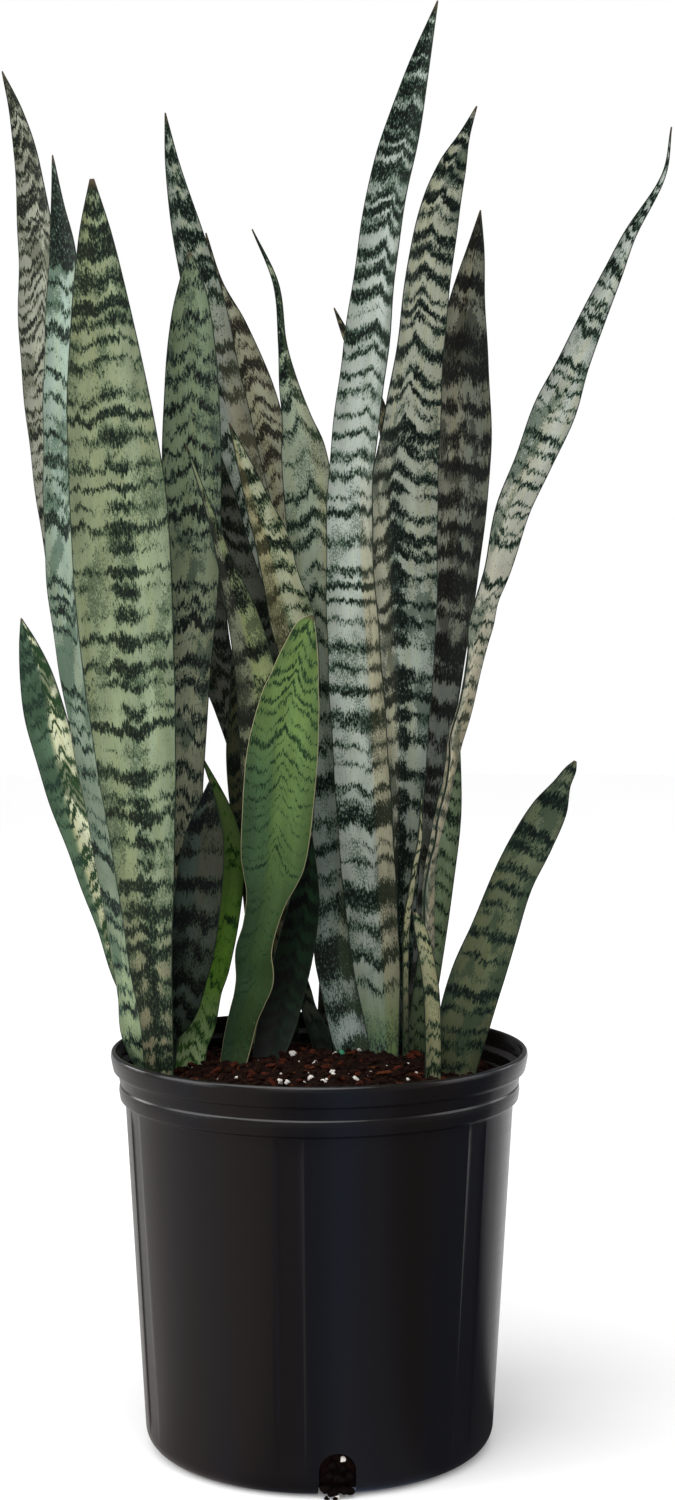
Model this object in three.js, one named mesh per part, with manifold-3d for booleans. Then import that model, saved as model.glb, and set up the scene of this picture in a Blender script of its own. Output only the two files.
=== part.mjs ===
// A zeylanica snake plant in a black nursery pot.
// Millimetres, +Z up. The origin is the middle of the pot's underside, and -Y is the plant's front.

import * as THREE from "three";
import { mergeVertices } from "three/addons/utils/BufferGeometryUtils.js";
import Module from "manifold-3d";

// Pot
const POT_HEIGHT = 249;
const RIM_RADIUS = 130;
const WALL_TOP_RADIUS = 121;
const WALL_FOOT_RADIUS = 109.3;
const FOOT_CORNER = 13;
const WALL = 2.2;
const FLOOR = 2.5;
const RIM_BAND = 32;
const POT_SIDES = 40;

// Upright grooves in the pot's wall
const GROOVE_COUNT = 6;
const GROOVE_START = -8;
const GROOVE_WIDTH = 16;
const GROOVE_DEPTH = 1;
const GROOVE_ABOVE_FOOT = 2;
const GROOVE_BELOW_RIM = 3;

// Drain notches at the pot's foot
const NOTCH_COUNT = 3;
const NOTCH_START = 6;
const NOTCH_WIDTH = 22;
const NOTCH_HEIGHT = 28;
const NOTCH_REACH = 22;

// Soil
const SOIL_GAP = 0.4;
const SOIL_EDGE = 226;
const SOIL_CROWN = 240;
const SOIL_RINGS = 4;
const SOIL_LUMP = 1.2;
const SOIL_LUMP_LENGTH = 11;
const CROSS_LUMP_LENGTH = 8.8;
const SLANT_LUMP_LENGTH = 18.7;
const SLANT_LUMP_SHARE = 0.6;
const SOIL_RADIUS = 122;

// Leaf blades
const BURIED = 26;
const SOIL_LINE = 232;
const STATION_STEP = 32;
const EXTRA_SECTIONS = 3;
const SLOPE_STEP = 2;
const FOOT_THICKNESS = 4.2;
const TIP_THICKNESS = 1.6;
const MARGIN_THICKNESS = 0.9;
const THICKEST_SHARE = 0.45;
const TIP_WIDTH = 1.8;
const HOLE_CLEARANCE = 0.45;
const HOLE_TOP = 252;
const TIP_CROWDING = 1.35;
const CHANNEL_CURVE = 1.35;
const BLADE_ACROSS = [-1, -0.55, 0, 0.55, 1];

// Each leaf is a list of stations going up from the soil: [x, y, height, width, facing].
// Facing is in degrees: 0 looks to the front, positive values turn towards +X.
// Channel is how far the midrib lies behind the margins, as a share of the width.
const LEAVES = {
  leaf_01: {
    channel: 0.2,
    stations: [
      [-88, 61, 232, 18, -45], [-131, 62, 346, 27, -42], [-150.5, 72, 463, 32, -42],
      [-169.5, 79, 575, 35, -40], [-183, 82, 690, 33, -38], [-184, 83, 755, 31, -36],
      [-189, 84, 806, 21, -32], [-196, 84, 841, 11, -30], [-205, 84, 868, 1, -30],
    ],
  },
  leaf_02: {
    channel: 0.18,
    stations: [
      [-108, 2, 232, 24, -52], [-116.5, 3, 257, 27, -50], [-119.5, 4, 278, 27, -54],
      [-125, 8, 311, 27, -57], [-137, 20, 383, 30, -52], [-153, 31, 471, 31, -46],
      [-162, 37, 537, 32, -42], [-164, 40, 604, 32, -40], [-163, 42, 686, 31, -38],
      [-162, 42, 741, 24, -36], [-165, 42, 775, 11, -34], [-168, 42, 807, 1, -32],
    ],
  },
  leaf_03: {
    channel: 0.12,
    stations: [
      [-98.5, -25, 232, 19.5, -22], [-99.5, -26, 263, 22, -20], [-103, -27, 301, 28, -18],
      [-107, -28, 369, 40, -15], [-112, -28, 436, 52, -12], [-118, -26, 516, 60, -8],
      [-122, -24, 588, 60, -5], [-128, -20, 649, 51, -3], [-133, -16, 710, 34, 0],
      [-136, -13, 750, 20, 0], [-138, -11, 783, 3, 0],
    ],
  },
  leaf_04: {
    channel: 0.24,
    stations: [
      [-99, 40, 232, 16, -50], [-124, 45, 282, 21, -42], [-136, 50, 321, 26, -40],
      [-149.5, 53, 363, 30, -35], [-164, 54, 407, 32, -30], [-175.5, 53, 449, 32, -28],
      [-181.5, 52, 477, 26, -25], [-187, 51, 500, 13, -22], [-191, 50, 516, 1, -22],
    ],
  },
  leaf_05: {
    channel: 0.22,
    stations: [
      [-42, 98, 232, 23, 20], [-24, 96, 328, 26, 22], [-27, 94, 462, 30, 26],
      [-34, 91, 534, 33, 30], [-49, 87, 600, 33, 30], [-65, 83, 671, 31, 28],
      [-75, 79, 722, 28, 25], [-86, 75, 767, 20, 20], [-94.5, 73, 806, 10, 15],
      [-99, 71, 839, 1, 15],
    ],
  },
  leaf_06: {
    channel: 0.2,
    stations: [
      [-88, 45, 232, 20, -10], [-90, 43, 312, 23, -8], [-88, 38, 401, 27, -6],
      [-84, 38, 477, 29, -5], [-79, 40, 544, 31, -4], [-81, 42, 604, 38, -3],
      [-81, 42, 667, 34, -2], [-81, 42, 705, 26, 0], [-81, 42, 729, 15, 0], [-82, 42, 747, 1, 0],
    ],
  },
  leaf_07: {
    channel: 0.2,
    stations: [
      [8, 98, 232, 22, -10], [12, 104, 328, 26, -14], [-3, 108, 428, 31, -18],
      [-16, 110, 528, 34, -20], [-32.5, 111, 614, 34, -20], [-46, 110, 666, 32, -18],
      [-58, 108, 706, 21, -15], [-68, 106, 735, 9, -15], [-75, 104, 768, 1, -15],
    ],
  },
  leaf_08: {
    channel: 0.22,
    stations: [
      [22.5, 38, 232, 23, 0], [17.3, 44, 255, 24, 0], [11.8, 52, 282, 25, -1],
      [9.5, 57, 300, 27, -2], [10.5, 66, 332, 28, -5], [5, 70, 417, 29, -10],
      [-2, 72, 515, 31, -14], [-7, 72, 593, 34, -16], [-11, 70, 625, 30, -16],
      [-15, 68, 644, 20, -14], [-20, 66, 666, 13, -12], [-24, 64, 692, 6, -10],
      [-28, 60, 729, 4, -10], [-43, 56, 763, 1, -10],
    ],
  },
  leaf_09: {
    channel: 0.2,
    stations: [
      [50, 99, 232, 18, 0], [61, 104, 328, 20, -10], [62, 110, 435, 26, -20],
      [59, 112, 528, 29, -28], [54, 113, 581, 25, -30], [47, 112, 627, 15, -30],
      [40, 111, 653, 9, -30], [30, 110, 675, 10, -30], [17, 110, 702, 6, -30],
      [9, 110, 720, 1, -30],
    ],
  },
  leaf_10: {
    channel: 0.28,
    stations: [
      [41.5, 27, 232, 17, -10], [40, 34, 256, 22.5, -12], [37, 42, 286, 30.5, -16],
      [32, 46, 341, 37, -22], [27, 42, 413, 41, -30], [22, 38, 490, 42, -36],
      [19, 36, 553, 38, -38], [20, 34, 610, 36, -38], [29, 30, 685, 36, -38],
      [36, 26, 743, 31, -36], [43, 22, 786, 30, -34], [53, 20, 824, 24, -28],
      [61, 18, 855, 15, -24], [73, 15, 896, 1, -20],
    ],
  },
  leaf_11: {
    channel: 0.2,
    stations: [
      [-24, 75, 232, 21, 15], [-26, 73, 300, 22, 18], [-31, 70, 370, 24, 22],
      [-36, 67, 440, 29, 25], [-43, 65, 506, 31, 25], [-57, 64, 556, 29, 22],
      [-67, 63, 600, 22, 20], [-76, 62, 640, 10, 20], [-82, 62, 664, 1, 20],
    ],
  },
  leaf_12: {
    channel: 0.26,
    stations: [
      [46, 76, 232, 20, 14], [51, 75, 291, 20, 16], [54, 72, 364, 25, 20], [56, 70, 437, 32, 25],
      [55.6, 66.4, 515, 47, 30], [54.2, 62, 592, 52.5, 32], [59.4, 59.6, 643, 43.5, 32],
      [65, 56, 694, 35, 30], [70, 53, 739, 33, 28], [77, 50, 777, 27, 24], [84, 48, 801, 19, 20],
      [91, 46, 819, 8, 18], [99, 45, 838, 1, 18],
    ],
  },
  leaf_13: {
    channel: 0.2,
    stations: [
      [64, 86, 232, 17, 16], [64, 89, 290, 16, 16], [70, 93, 369, 19, 14], [73, 95, 422, 25, 14],
      [79, 95, 488, 34, 14], [87, 95, 554, 38, 14], [93, 94, 626, 40, 14], [92.5, 92, 684, 36, 12],
      [96, 90, 723, 24, 12], [101, 88, 755, 12, 12], [104, 87, 780, 1, 12],
    ],
  },
  leaf_14: {
    channel: 0.22,
    stations: [
      [72, -2, 232, 14, 60], [69.5, 8, 300, 14, 62], [69.2, 14, 341, 14, 62],
      [71.3, 16, 362, 13, 70], [74.1, 16, 376, 13, 75], [76.6, 15, 390, 14, 69],
      [81.2, 14, 409, 14, 71], [84.6, 12, 430, 16, 64], [85.9, 11, 441, 18, 58],
      [92, 8, 463, 17, 57], [97.8, 4, 495, 19, 50], [100, 1, 511, 21, 40], [104, -2, 528, 20, 42],
      [110, -4, 546, 21, 35], [119, -10, 583, 24, 25], [131, -16, 612, 24, 15],
      [143.5, -20, 643, 27, 10], [154, -24, 670, 20, 10], [166.5, -28, 700, 16, 10],
      [177, -32, 724, 12, 10], [186.5, -36, 746, 8, 10], [205, -44, 779, 3, 10],
      [209, -48, 807, 1, 10],
    ],
  },
  leaf_15: {
    channel: 0.16,
    stations: [
      [60, 46, 232, 16, 25], [70, 50, 289, 18, 22], [76, 54, 334, 19, 20], [81, 56, 373, 19, 18],
      [84, 57, 402, 16, 16], [90, 58, 436, 1, 15],
    ],
  },
  leaf_16: {
    channel: 0.16,
    stations: [
      [83.5, -12, 232, 28, 16], [90, -14, 267, 34, 14], [98, -16, 296, 35, 12],
      [108, -18, 324, 30, 10], [119, -22, 356, 27, 10], [131, -26, 381, 26, 8],
      [141, -30, 401, 22, 8], [148, -33, 416, 11, 8], [153, -35, 425, 7, 8],
      [155.5, -36, 430, 2, 8],
    ],
  },
  leaf_17: {
    channel: 0.22,
    stations: [
      [70, -28, 232, 11, 20], [70, -27, 258, 11, 20], [69, -25, 286, 11, 20],
      [66, -23, 308, 10, 20], [62, -22, 326, 8, 20], [59, -21, 336, 3, 20],
    ],
  },
  leaf_18: {
    channel: 0.12,
    stations: [
      [-55, 2, 232, 19, -34], [-51.5, 3, 250, 20.5, -28], [-47.4, 1, 268, 20.5, -25],
      [-43.7, -1, 279, 22, -23], [-40.3, -2, 292, 26, -22], [-41, -4, 308, 24.5, -18],
      [-37.5, -6, 323, 22, -16], [-33, -9, 342, 25.5, -12], [-30.5, -12, 355, 34, -8],
      [-28.7, -14, 366, 40, -6], [-26.3, -18, 389, 43, -4], [-22.4, -24, 433, 43.5, 0],
      [-17.5, -26, 467, 36, 2], [-15, -26.5, 479, 30, 2], [-12.5, -27, 491, 25, 3],
      [-10, -27, 503, 18, 3], [-7.5, -27, 512, 12, 4], [-3.5, -27, 518, 2, 4],
    ],
  },
  leaf_19: {
    channel: 0.14,
    stations: [
      [-35, 11, 232, 17, -14], [-28.8, 21, 253, 24, -12], [-23, 28, 275, 25.5, -10],
      [-15, 31, 308, 24, -8], [-9, 29, 340, 18, -6], [-5, 27, 379, 1, -4],
    ],
  },
  leaf_20: {
    channel: 0.14,
    stations: [
      [3.5, 45, 232, 12, -12], [-1.2, 45, 250, 13, -10], [-7.1, 45, 265, 10, -8],
      [-9, 45.5, 277, 7, -6], [-11, 46, 292, 1, -4],
    ],
  },
  leaf_21: {
    channel: 0.14,
    stations: [
      [-97, 8, 232, 12, 10], [-96.4, 8.5, 252, 14, 10], [-91.4, 4, 264, 21, 9],
      [-87, 0, 275, 24, 8], [-82, -5, 297, 27, 7], [-79, -8, 310, 28, 6], [-74, -10, 354, 29, 5],
      [-71, -11, 382, 24, 4], [-69, -12, 401, 12, 4], [-67, -12, 417, 1, 4],
    ],
  },
  leaf_22: {
    channel: 0.14,
    stations: [
      [-82, 14, 232, 20, 14], [-80.5, 19, 247, 20.5, 14], [-77, 25, 258, 22, 14],
      [-72.5, 33, 279, 21, 15], [-67.5, 37, 293, 20.5, 16], [-59, 45, 329, 17, 18],
      [-56, 46, 361, 16, 20], [-60, 46, 390, 10, 20], [-76, 44, 429, 1, 20],
    ],
  },
  leaf_23: {
    channel: 0.14,
    stations: [
      [-44, 65, 232, 16, 10], [-41, 62, 294, 13, 10], [-44, 59, 345, 14, 8], [-49, 57, 380, 15, 7],
      [-53, 56, 425, 15, 6], [-54, 55, 463, 9, 4], [-56, 54, 496, 1, 4],
    ],
  },
  leaf_24: {
    channel: 0.22,
    stations: [
      [-36, 55, 232, 19, -10], [-25, 54, 282, 22, -5], [-18, 50, 361, 24, 4],
      [-14, 44, 438, 26, 10], [-13, 41, 490, 26, 14], [-17.5, 41, 515, 30, 16],
      [-24, 38, 539, 25, 20], [-30.3, 37, 566, 23.5, 20], [-36.5, 36, 582, 19, 20],
      [-45.5, 35, 608, 11.5, 20], [-57, 33, 639, 1, 20],
    ],
  },
  leaf_25: {
    channel: 0.2,
    stations: [
      [-50, 45, 232, 17, -26], [-43, 44, 270, 17, -24], [-38, 42, 305, 18, -20],
      [-37, 37, 362, 23, -12], [-38, 30, 426, 25, -4], [-40, 25, 477, 26, 4], [-48, 21, 517, 20, 8],
      [-57, 19, 545, 12, 10], [-66, 16, 575, 6, 10], [-83, 14, 624, 1, 10],
    ],
  },
  leaf_26: {
    channel: 0.14,
    stations: [
      [-36, 86, 232, 18, 0], [-33, 84, 280, 18, 0], [-35, 82, 325, 19, -2], [-41, 80, 380, 21, -4],
      [-47, 79, 425, 23, -5], [-58, 78, 460, 24, -6], [-70, 77, 492, 26, -8],
      [-77, 75, 530, 29, -8], [-86, 74, 570, 18, -8], [-92, 73, 606, 1, -8],
    ],
  },
  leaf_27: {
    channel: 0.1,
    stations: [
      [55, 30, 232, 5, 20], [54.6, 30, 293, 4.5, 20], [55.4, 31, 324, 5, 22],
      [58.6, 31, 345, 4.5, 22], [61, 32, 361, 4, 22], [63.6, 33, 375, 3.5, 22],
      [65.1, 34, 409, 1, 22],
    ],
  },
};

// Colours and roughness
const LEAF_TONES = {
  silver: ["#98a498", ["02", "05", "08", "10", "12", "14"]],
  sage: ["#818f70", ["01", "03", "04", "06", "09", "15", "16", "17", "24", "27"]],
  bright: ["#6a8a45", ["18", "22"]],
  dark: ["#4f5b47", ["07", "11", "13", "19", "20", "21", "23", "25", "26"]],
};
const LEAF_ROUGHNESS = 0.5;
const POT_COLOUR = "#1c1c20";
const POT_ROUGHNESS = 0.38;
const SOIL_COLOUR = "#2c1a12";
const SOIL_ROUGHNESS = 0.95;

// Points closer than this are one point
const TOUCH = 1e-4;

const wasm = await Module();
wasm.setup();

// A closed geometry as a solid that can be cut and joined
function toSolid(geometry) {
  const bare = geometry.clone();
  bare.deleteAttribute("normal");
  bare.deleteAttribute("uv");
  const merged = mergeVertices(bare, TOUCH);
  return new wasm.Manifold(
    new wasm.Mesh({
      numProp: 3,
      vertProperties: new Float32Array(merged.attributes.position.array),
      triVerts: new Uint32Array(merged.index.array),
    }),
  );
}

// A solid back as a geometry
function toGeometry(solid) {
  const mesh = solid.getMesh();
  const geometry = new THREE.BufferGeometry();
  geometry.setAttribute("position", new THREE.BufferAttribute(new Float32Array(mesh.vertProperties), 3));
  geometry.setIndex(new THREE.BufferAttribute(new Uint32Array(mesh.triVerts), 1));
  geometry.computeVertexNormals();
  return geometry;
}

// Points on an arc between two angles in degrees, in radius and height
function arc(radius, height, size, from, to, steps) {
  return Array.from({ length: steps + 1 }, (_, i) => {
    const angle = THREE.MathUtils.degToRad(from + ((to - from) * i) / steps);
    return new THREE.Vector2(radius + size * Math.cos(angle), height + size * Math.sin(angle));
  });
}

// A profile of radius and height turned about the upright axis
function turned(profile, sides) {
  const geometry = new THREE.LatheGeometry(profile, sides);
  geometry.rotateX(Math.PI / 2);
  return geometry;
}

// Axes for a cutter on the pot's wall: along the wall's round, up, and straight out
function wallFrame(azimuth) {
  const angle = THREE.MathUtils.degToRad(azimuth);
  const along = new THREE.Vector3(Math.cos(angle), Math.sin(angle), 0);
  const up = new THREE.Vector3(0, 0, 1);
  const out = new THREE.Vector3(Math.sin(angle), -Math.cos(angle), 0);
  return new THREE.Matrix4().makeBasis(along, up, out);
}

// A point on the rim, by how far it lies inside the widest ring and below the top
function rimPoint([inset, depth]) {
  return new THREE.Vector2(RIM_RADIUS - inset, POT_HEIGHT - depth);
}

// The rim from the wall up: a band with a fine groove, a neck, and a rounded lip
function rimOutside() {
  const wallTop = new THREE.Vector2(WALL_TOP_RADIUS, POT_HEIGHT - RIM_BAND);
  const band = [[5.8, RIM_BAND - 2], [5.1, 25], [5.4, 21.5], [6.1, 20.5], [5.4, 19.5], [4.7, 14]];
  const lip = [[1.6, 12], [0.5, 7], [0, 3.5], [0.4, 1], [1.4, 0]];
  return [wallTop, ...[...band, ...lip].map(rimPoint)];
}

// The rim from the top down its inside to the wall
function rimInside() {
  const wallTop = new THREE.Vector2(WALL_TOP_RADIUS - WALL, POT_HEIGHT - RIM_BAND - 1);
  const steps = [[2.8, 0], [3.4, 1], [4, 11], [6.8, 13.5], [7.6, RIM_BAND - 3]];
  return [...steps.map(rimPoint), wallTop];
}

// The pot's foot from the wall down to the floor, drawn inwards by an offset
function footCorner(offset) {
  const size = FOOT_CORNER - offset;
  return arc(WALL_FOOT_RADIUS - FOOT_CORNER, FOOT_CORNER, size, -90, 0, 4);
}

function potShell() {
  const outside = [new THREE.Vector2(0, 0), ...footCorner(0), ...rimOutside()];
  const inside = [...rimInside(), ...footCorner(FLOOR).reverse(), new THREE.Vector2(0, FLOOR)];
  return toSolid(turned([...outside, ...inside], POT_SIDES));
}

// One upright groove lies in the tapered wall between the foot's corner and the rim's band
function grooveCutter(azimuth) {
  const low = FOOT_CORNER + GROOVE_ABOVE_FOOT;
  const high = POT_HEIGHT - RIM_BAND - GROOVE_BELOW_RIM;
  const wallHeight = POT_HEIGHT - RIM_BAND - FOOT_CORNER;
  const lean = Math.atan2(WALL_TOP_RADIUS - WALL_FOOT_RADIUS, wallHeight);
  const middle = (low + high) / 2;
  const share = (middle - FOOT_CORNER) / wallHeight;
  const radius = THREE.MathUtils.lerp(WALL_FOOT_RADIUS, WALL_TOP_RADIUS, share);
  const box = new THREE.BoxGeometry(GROOVE_WIDTH, (high - low) / Math.cos(lean), 2 * GROOVE_DEPTH);
  box.rotateX(lean);
  box.translate(0, middle, radius);
  box.applyMatrix4(wallFrame(azimuth));
  return toSolid(box);
}

// One arch-shaped notch goes through the wall and the floor's edge
function notchCutter(azimuth) {
  const half = NOTCH_WIDTH / 2;
  const arch = new THREE.Shape();
  arch.moveTo(-half, -1);
  arch.lineTo(half, -1);
  arch.lineTo(half, NOTCH_HEIGHT - half);
  arch.absarc(0, NOTCH_HEIGHT - half, half, 0, Math.PI, false);
  arch.closePath();
  const depth = 2 * NOTCH_REACH;
  const cutter = new THREE.ExtrudeGeometry(arch, { depth, bevelEnabled: false, curveSegments: 8 });
  cutter.translate(0, 0, WALL_FOOT_RADIUS - NOTCH_REACH);
  cutter.applyMatrix4(wallFrame(azimuth));
  return toSolid(cutter);
}

function makePot() {
  let pot = potShell();
  for (let i = 0; i < GROOVE_COUNT; i += 1) {
    pot = pot.subtract(grooveCutter(GROOVE_START + (360 * i) / GROOVE_COUNT));
  }
  for (let i = 0; i < NOTCH_COUNT; i += 1) {
    pot = pot.subtract(notchCutter(NOTCH_START + (360 * i) / NOTCH_COUNT));
  }
  return toGeometry(pot);
}

// The height of the soil's top: a low mound with gentle lumps
function soilHeight(x, y) {
  const share = Math.hypot(x, y) / SOIL_RADIUS;
  const mound = THREE.MathUtils.lerp(SOIL_CROWN, SOIL_EDGE, share * share);
  const crossed = Math.sin(x / SOIL_LUMP_LENGTH + 1) * Math.cos(y / CROSS_LUMP_LENGTH);
  const slanted = SLANT_LUMP_SHARE * Math.sin((x + 2 * y) / SLANT_LUMP_LENGTH);
  return mound + SOIL_LUMP * (crossed + slanted) * (1 - share ** 4);
}

function makeSoil(blades) {
  const inner = footCorner(FLOOR + SOIL_GAP);
  const wall = [new THREE.Vector2(WALL_TOP_RADIUS - WALL - SOIL_GAP, POT_HEIGHT - RIM_BAND - 1)];
  const top = Array.from({ length: SOIL_RINGS + 1 }, (_, i) => {
    const radius = SOIL_RADIUS * (1 - i / SOIL_RINGS);
    return new THREE.Vector2(radius, SOIL_EDGE);
  });
  const profile = [new THREE.Vector2(0, FLOOR + SOIL_GAP), ...inner, ...wall, ...top];
  const geometry = turned(profile, POT_SIDES);
  const position = geometry.attributes.position;
  for (let i = 0; i < position.count; i += 1) {
    if (position.getZ(i) > SOIL_EDGE - TOUCH) {
      position.setZ(i, soilHeight(position.getX(i), position.getY(i)));
    }
  }
  let soil = toSolid(geometry);
  for (const leaf of blades) {
    soil = soil.subtract(toSolid(bladeGeometry(leaf, HOLE_CLEARANCE, HOLE_TOP)));
  }
  return toGeometry(soil);
}

// One column of a leaf's stations at a height, on a smooth curve through the stations
function columnAt(stations, column, height) {
  const heights = stations.map((station) => station[2]);
  const last = stations.length - 1;
  const at = Math.min(Math.max(height, heights[0]), heights[last]);
  let i = 0;
  while (i < last - 1 && heights[i + 1] < at) {
    i += 1;
  }
  const slope = (k) => {
    const low = Math.max(k - 1, 0);
    const high = Math.min(k + 1, last);
    return (stations[high][column] - stations[low][column]) / (heights[high] - heights[low]);
  };
  const span = heights[i + 1] - heights[i];
  const t = (at - heights[i]) / span;
  const from = stations[i][column];
  const to = stations[i + 1][column];
  const bend = (1 - t) ** 2 * t * span * slope(i) - t ** 2 * (1 - t) * span * slope(i + 1);
  return from + (to - from) * t * t * (3 - 2 * t) + bend;
}

// The heights of a blade's cross-sections, closer together towards the tip
function sectionHeights(stations) {
  const tip = stations[stations.length - 1][2];
  const above = tip - HOLE_TOP;
  const count = Math.ceil(above / STATION_STEP) + EXTRA_SECTIONS;
  const rising = Array.from({ length: count }, (_, i) => {
    const left = (1 - (i + 1) / count) ** TIP_CROWDING;
    return HOLE_TOP + above * (1 - left);
  });
  return [SOIL_LINE - BURIED, SOIL_LINE, HOLE_TOP, ...rising];
}

// The front and back points of one cross-section of a blade
function bladeSection(leaf, height, grow) {
  const { stations, channel } = leaf;
  const tip = stations[stations.length - 1][2];
  const along = (column, at) => columnAt(stations, column, at);
  const width = Math.max(along(3, height), TIP_WIDTH);
  const centre = new THREE.Vector3(along(0, height), along(1, height), height);
  const high = Math.min(height + SLOPE_STEP, tip);
  const low = height - SLOPE_STEP;
  const tangent = new THREE.Vector3(
    along(0, high) - along(0, low),
    along(1, high) - along(1, low),
    high - low,
  ).normalize();
  const turn = THREE.MathUtils.degToRad(along(4, height));
  const front = new THREE.Vector3(Math.sin(turn), -Math.cos(turn), 0);
  front.addScaledVector(tangent, -front.dot(tangent)).normalize();
  const side = new THREE.Vector3().crossVectors(tangent, front);
  const climb = Math.max(0, (height - SOIL_LINE) / (tip - SOIL_LINE));
  const tapered = THREE.MathUtils.lerp(FOOT_THICKNESS, TIP_THICKNESS, climb);
  const full = Math.min(tapered, THICKEST_SHARE * width);
  const margin = Math.min(MARGIN_THICKNESS, full);
  const rows = BLADE_ACROSS.map((share) => {
    const reach = share * (width / 2 + grow);
    const lift = channel * width * (Math.abs((2 * reach) / width) ** CHANNEL_CURVE - 1);
    const half = (margin + (full - margin) * (1 - share * share)) / 2 + grow;
    const middle = centre.clone().addScaledVector(side, reach).addScaledVector(front, lift);
    return [
      middle.clone().addScaledVector(front, half),
      middle.clone().addScaledVector(front, -half),
    ];
  });
  return [...rows.map((row) => row[0]), ...rows.map((row) => row[1]).reverse()];
}

// A channelled blade, closed at the foot and at the tip
function bladeGeometry(leaf, grow = 0, top = Infinity) {
  const heights = sectionHeights(leaf.stations).filter((height) => height <= top);
  const rings = heights.map((height) => bladeSection(leaf, height, grow));
  if (grow > 0) {
    rings[0].forEach((point) => point.setZ(point.z - grow));
  }
  const around = rings[0].length;
  const across = BLADE_ACROSS.length;
  const index = [];
  for (let ring = 0; ring + 1 < rings.length; ring += 1) {
    for (let i = 0; i < around; i += 1) {
      const a = ring * around + i;
      const b = ring * around + ((i + 1) % around);
      index.push(a, b, b + around, a, b + around, a + around);
    }
  }
  const end = (rings.length - 1) * around;
  for (let i = 0; i + 1 < across; i += 1) {
    const back = around - 1 - i;
    index.push(i, back, i + 1, i + 1, back, back - 1);
    index.push(end + i, end + i + 1, end + back, end + i + 1, end + back - 1, end + back);
  }
  const geometry = new THREE.BufferGeometry();
  geometry.setFromPoints(rings.flat());
  geometry.setIndex(index);
  geometry.computeVertexNormals();
  return geometry;
}

function piece(name, geometry, color, roughness) {
  const material = new THREE.MeshStandardMaterial({ color, roughness, metalness: 0 });
  const mesh = new THREE.Mesh(geometry, material);
  mesh.name = name;
  return mesh;
}

// A leaf's colour, by the number in its name
function leafColour(name) {
  const [colour] = Object.values(LEAF_TONES).find(([, numbers]) => numbers.includes(name.slice(-2)));
  return colour;
}

const plant = new THREE.Group();
plant.add(piece("pot", makePot(), POT_COLOUR, POT_ROUGHNESS));
plant.add(piece("soil", makeSoil(Object.values(LEAVES)), SOIL_COLOUR, SOIL_ROUGHNESS));
for (const [name, leaf] of Object.entries(LEAVES)) {
  plant.add(piece(name, bladeGeometry(leaf), leafColour(name), LEAF_ROUGHNESS));
}

export default plant;
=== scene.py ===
import bpy
import numpy as np
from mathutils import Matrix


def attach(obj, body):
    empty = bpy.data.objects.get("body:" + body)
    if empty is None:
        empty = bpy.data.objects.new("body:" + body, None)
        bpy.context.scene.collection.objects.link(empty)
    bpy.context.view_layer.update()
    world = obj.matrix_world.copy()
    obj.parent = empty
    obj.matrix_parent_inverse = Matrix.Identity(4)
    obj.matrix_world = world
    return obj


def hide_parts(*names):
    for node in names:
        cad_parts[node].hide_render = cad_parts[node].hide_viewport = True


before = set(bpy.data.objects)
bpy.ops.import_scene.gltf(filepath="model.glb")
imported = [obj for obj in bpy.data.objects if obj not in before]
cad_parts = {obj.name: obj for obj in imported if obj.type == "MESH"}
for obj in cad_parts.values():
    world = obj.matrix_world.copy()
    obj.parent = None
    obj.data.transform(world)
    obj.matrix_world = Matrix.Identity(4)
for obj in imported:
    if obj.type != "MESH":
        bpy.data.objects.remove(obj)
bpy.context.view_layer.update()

# A zeylanica snake plant in a black nursery pot, dressed over its solids.
# The tables are in millimetres and degrees, and the meshes are made in metres. -Y is the plant's front.
MM = 0.001

# Pot
POT_HEIGHT = 249
RIM_RADIUS = 130
WALL_TOP_RADIUS = 121
WALL_FOOT_RADIUS = 109.3
FOOT_CORNER = 13
WALL = 2.2
FLOOR = 2.5
RIM_BAND = 32
GROOVE_COUNT = 6
GROOVE_START = -8
GROOVE_WIDTH = 16
GROOVE_DEPTH = 1
GROOVE_EDGE = 1.9
GROOVE_RADIUS = 115
NOTCH_COUNT = 3
NOTCH_START = 6
NOTCH_WIDTH = 22
NOTCH_HEIGHT = 28
NOTCH_CUT = (87, 130)

# Soil
SOIL_GAP = 0.4
SOIL_EDGE = 226
SOIL_CROWN = 240
SOIL_LUMP = 1.2
SOIL_LUMP_LENGTH = 11
CROSS_LUMP_LENGTH = 8.8
SLANT_LUMP_LENGTH = 18.7
SLANT_LUMP_SHARE = 0.6
SOIL_RADIUS = 122
SOIL_RINGS = 84
SOIL_SIDES = 260
CRUMBS_SUNK = 0.4

# Leaf blades
BURIED = 26
SOIL_LINE = 232
FOOT_THICKNESS = 4.2
TIP_THICKNESS = 1.6
MARGIN_THICKNESS = 0.9
THICKEST_SHARE = 0.45
CHANNEL_CURVE = 1.35
RINGS = 150
FLUTTER = 0.45
FLUTTER_LENGTH = 58

# Stage, in millimetres, metres, degrees and watts
STAGE_RADIUS = 6000
CAMERA_LENS = 58.08
CAMERA_PLACE = (0.0113, -1.5, 0.525)
CAMERA_DROP = 3.45
SUN_POWER = 2.65
PANELS = (
    ("left_panel", (-2.2, -0.5, 1.2), 1.6, 22),
    ("right_panel", (2.4, -0.2, 1.2), 1.6, 13),
    ("left_strip", (-2.0, 1.1, 0.7), 0.8, 8),
    ("right_strip", (2.0, 1.25, 0.7), 0.8, 4),
)

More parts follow.
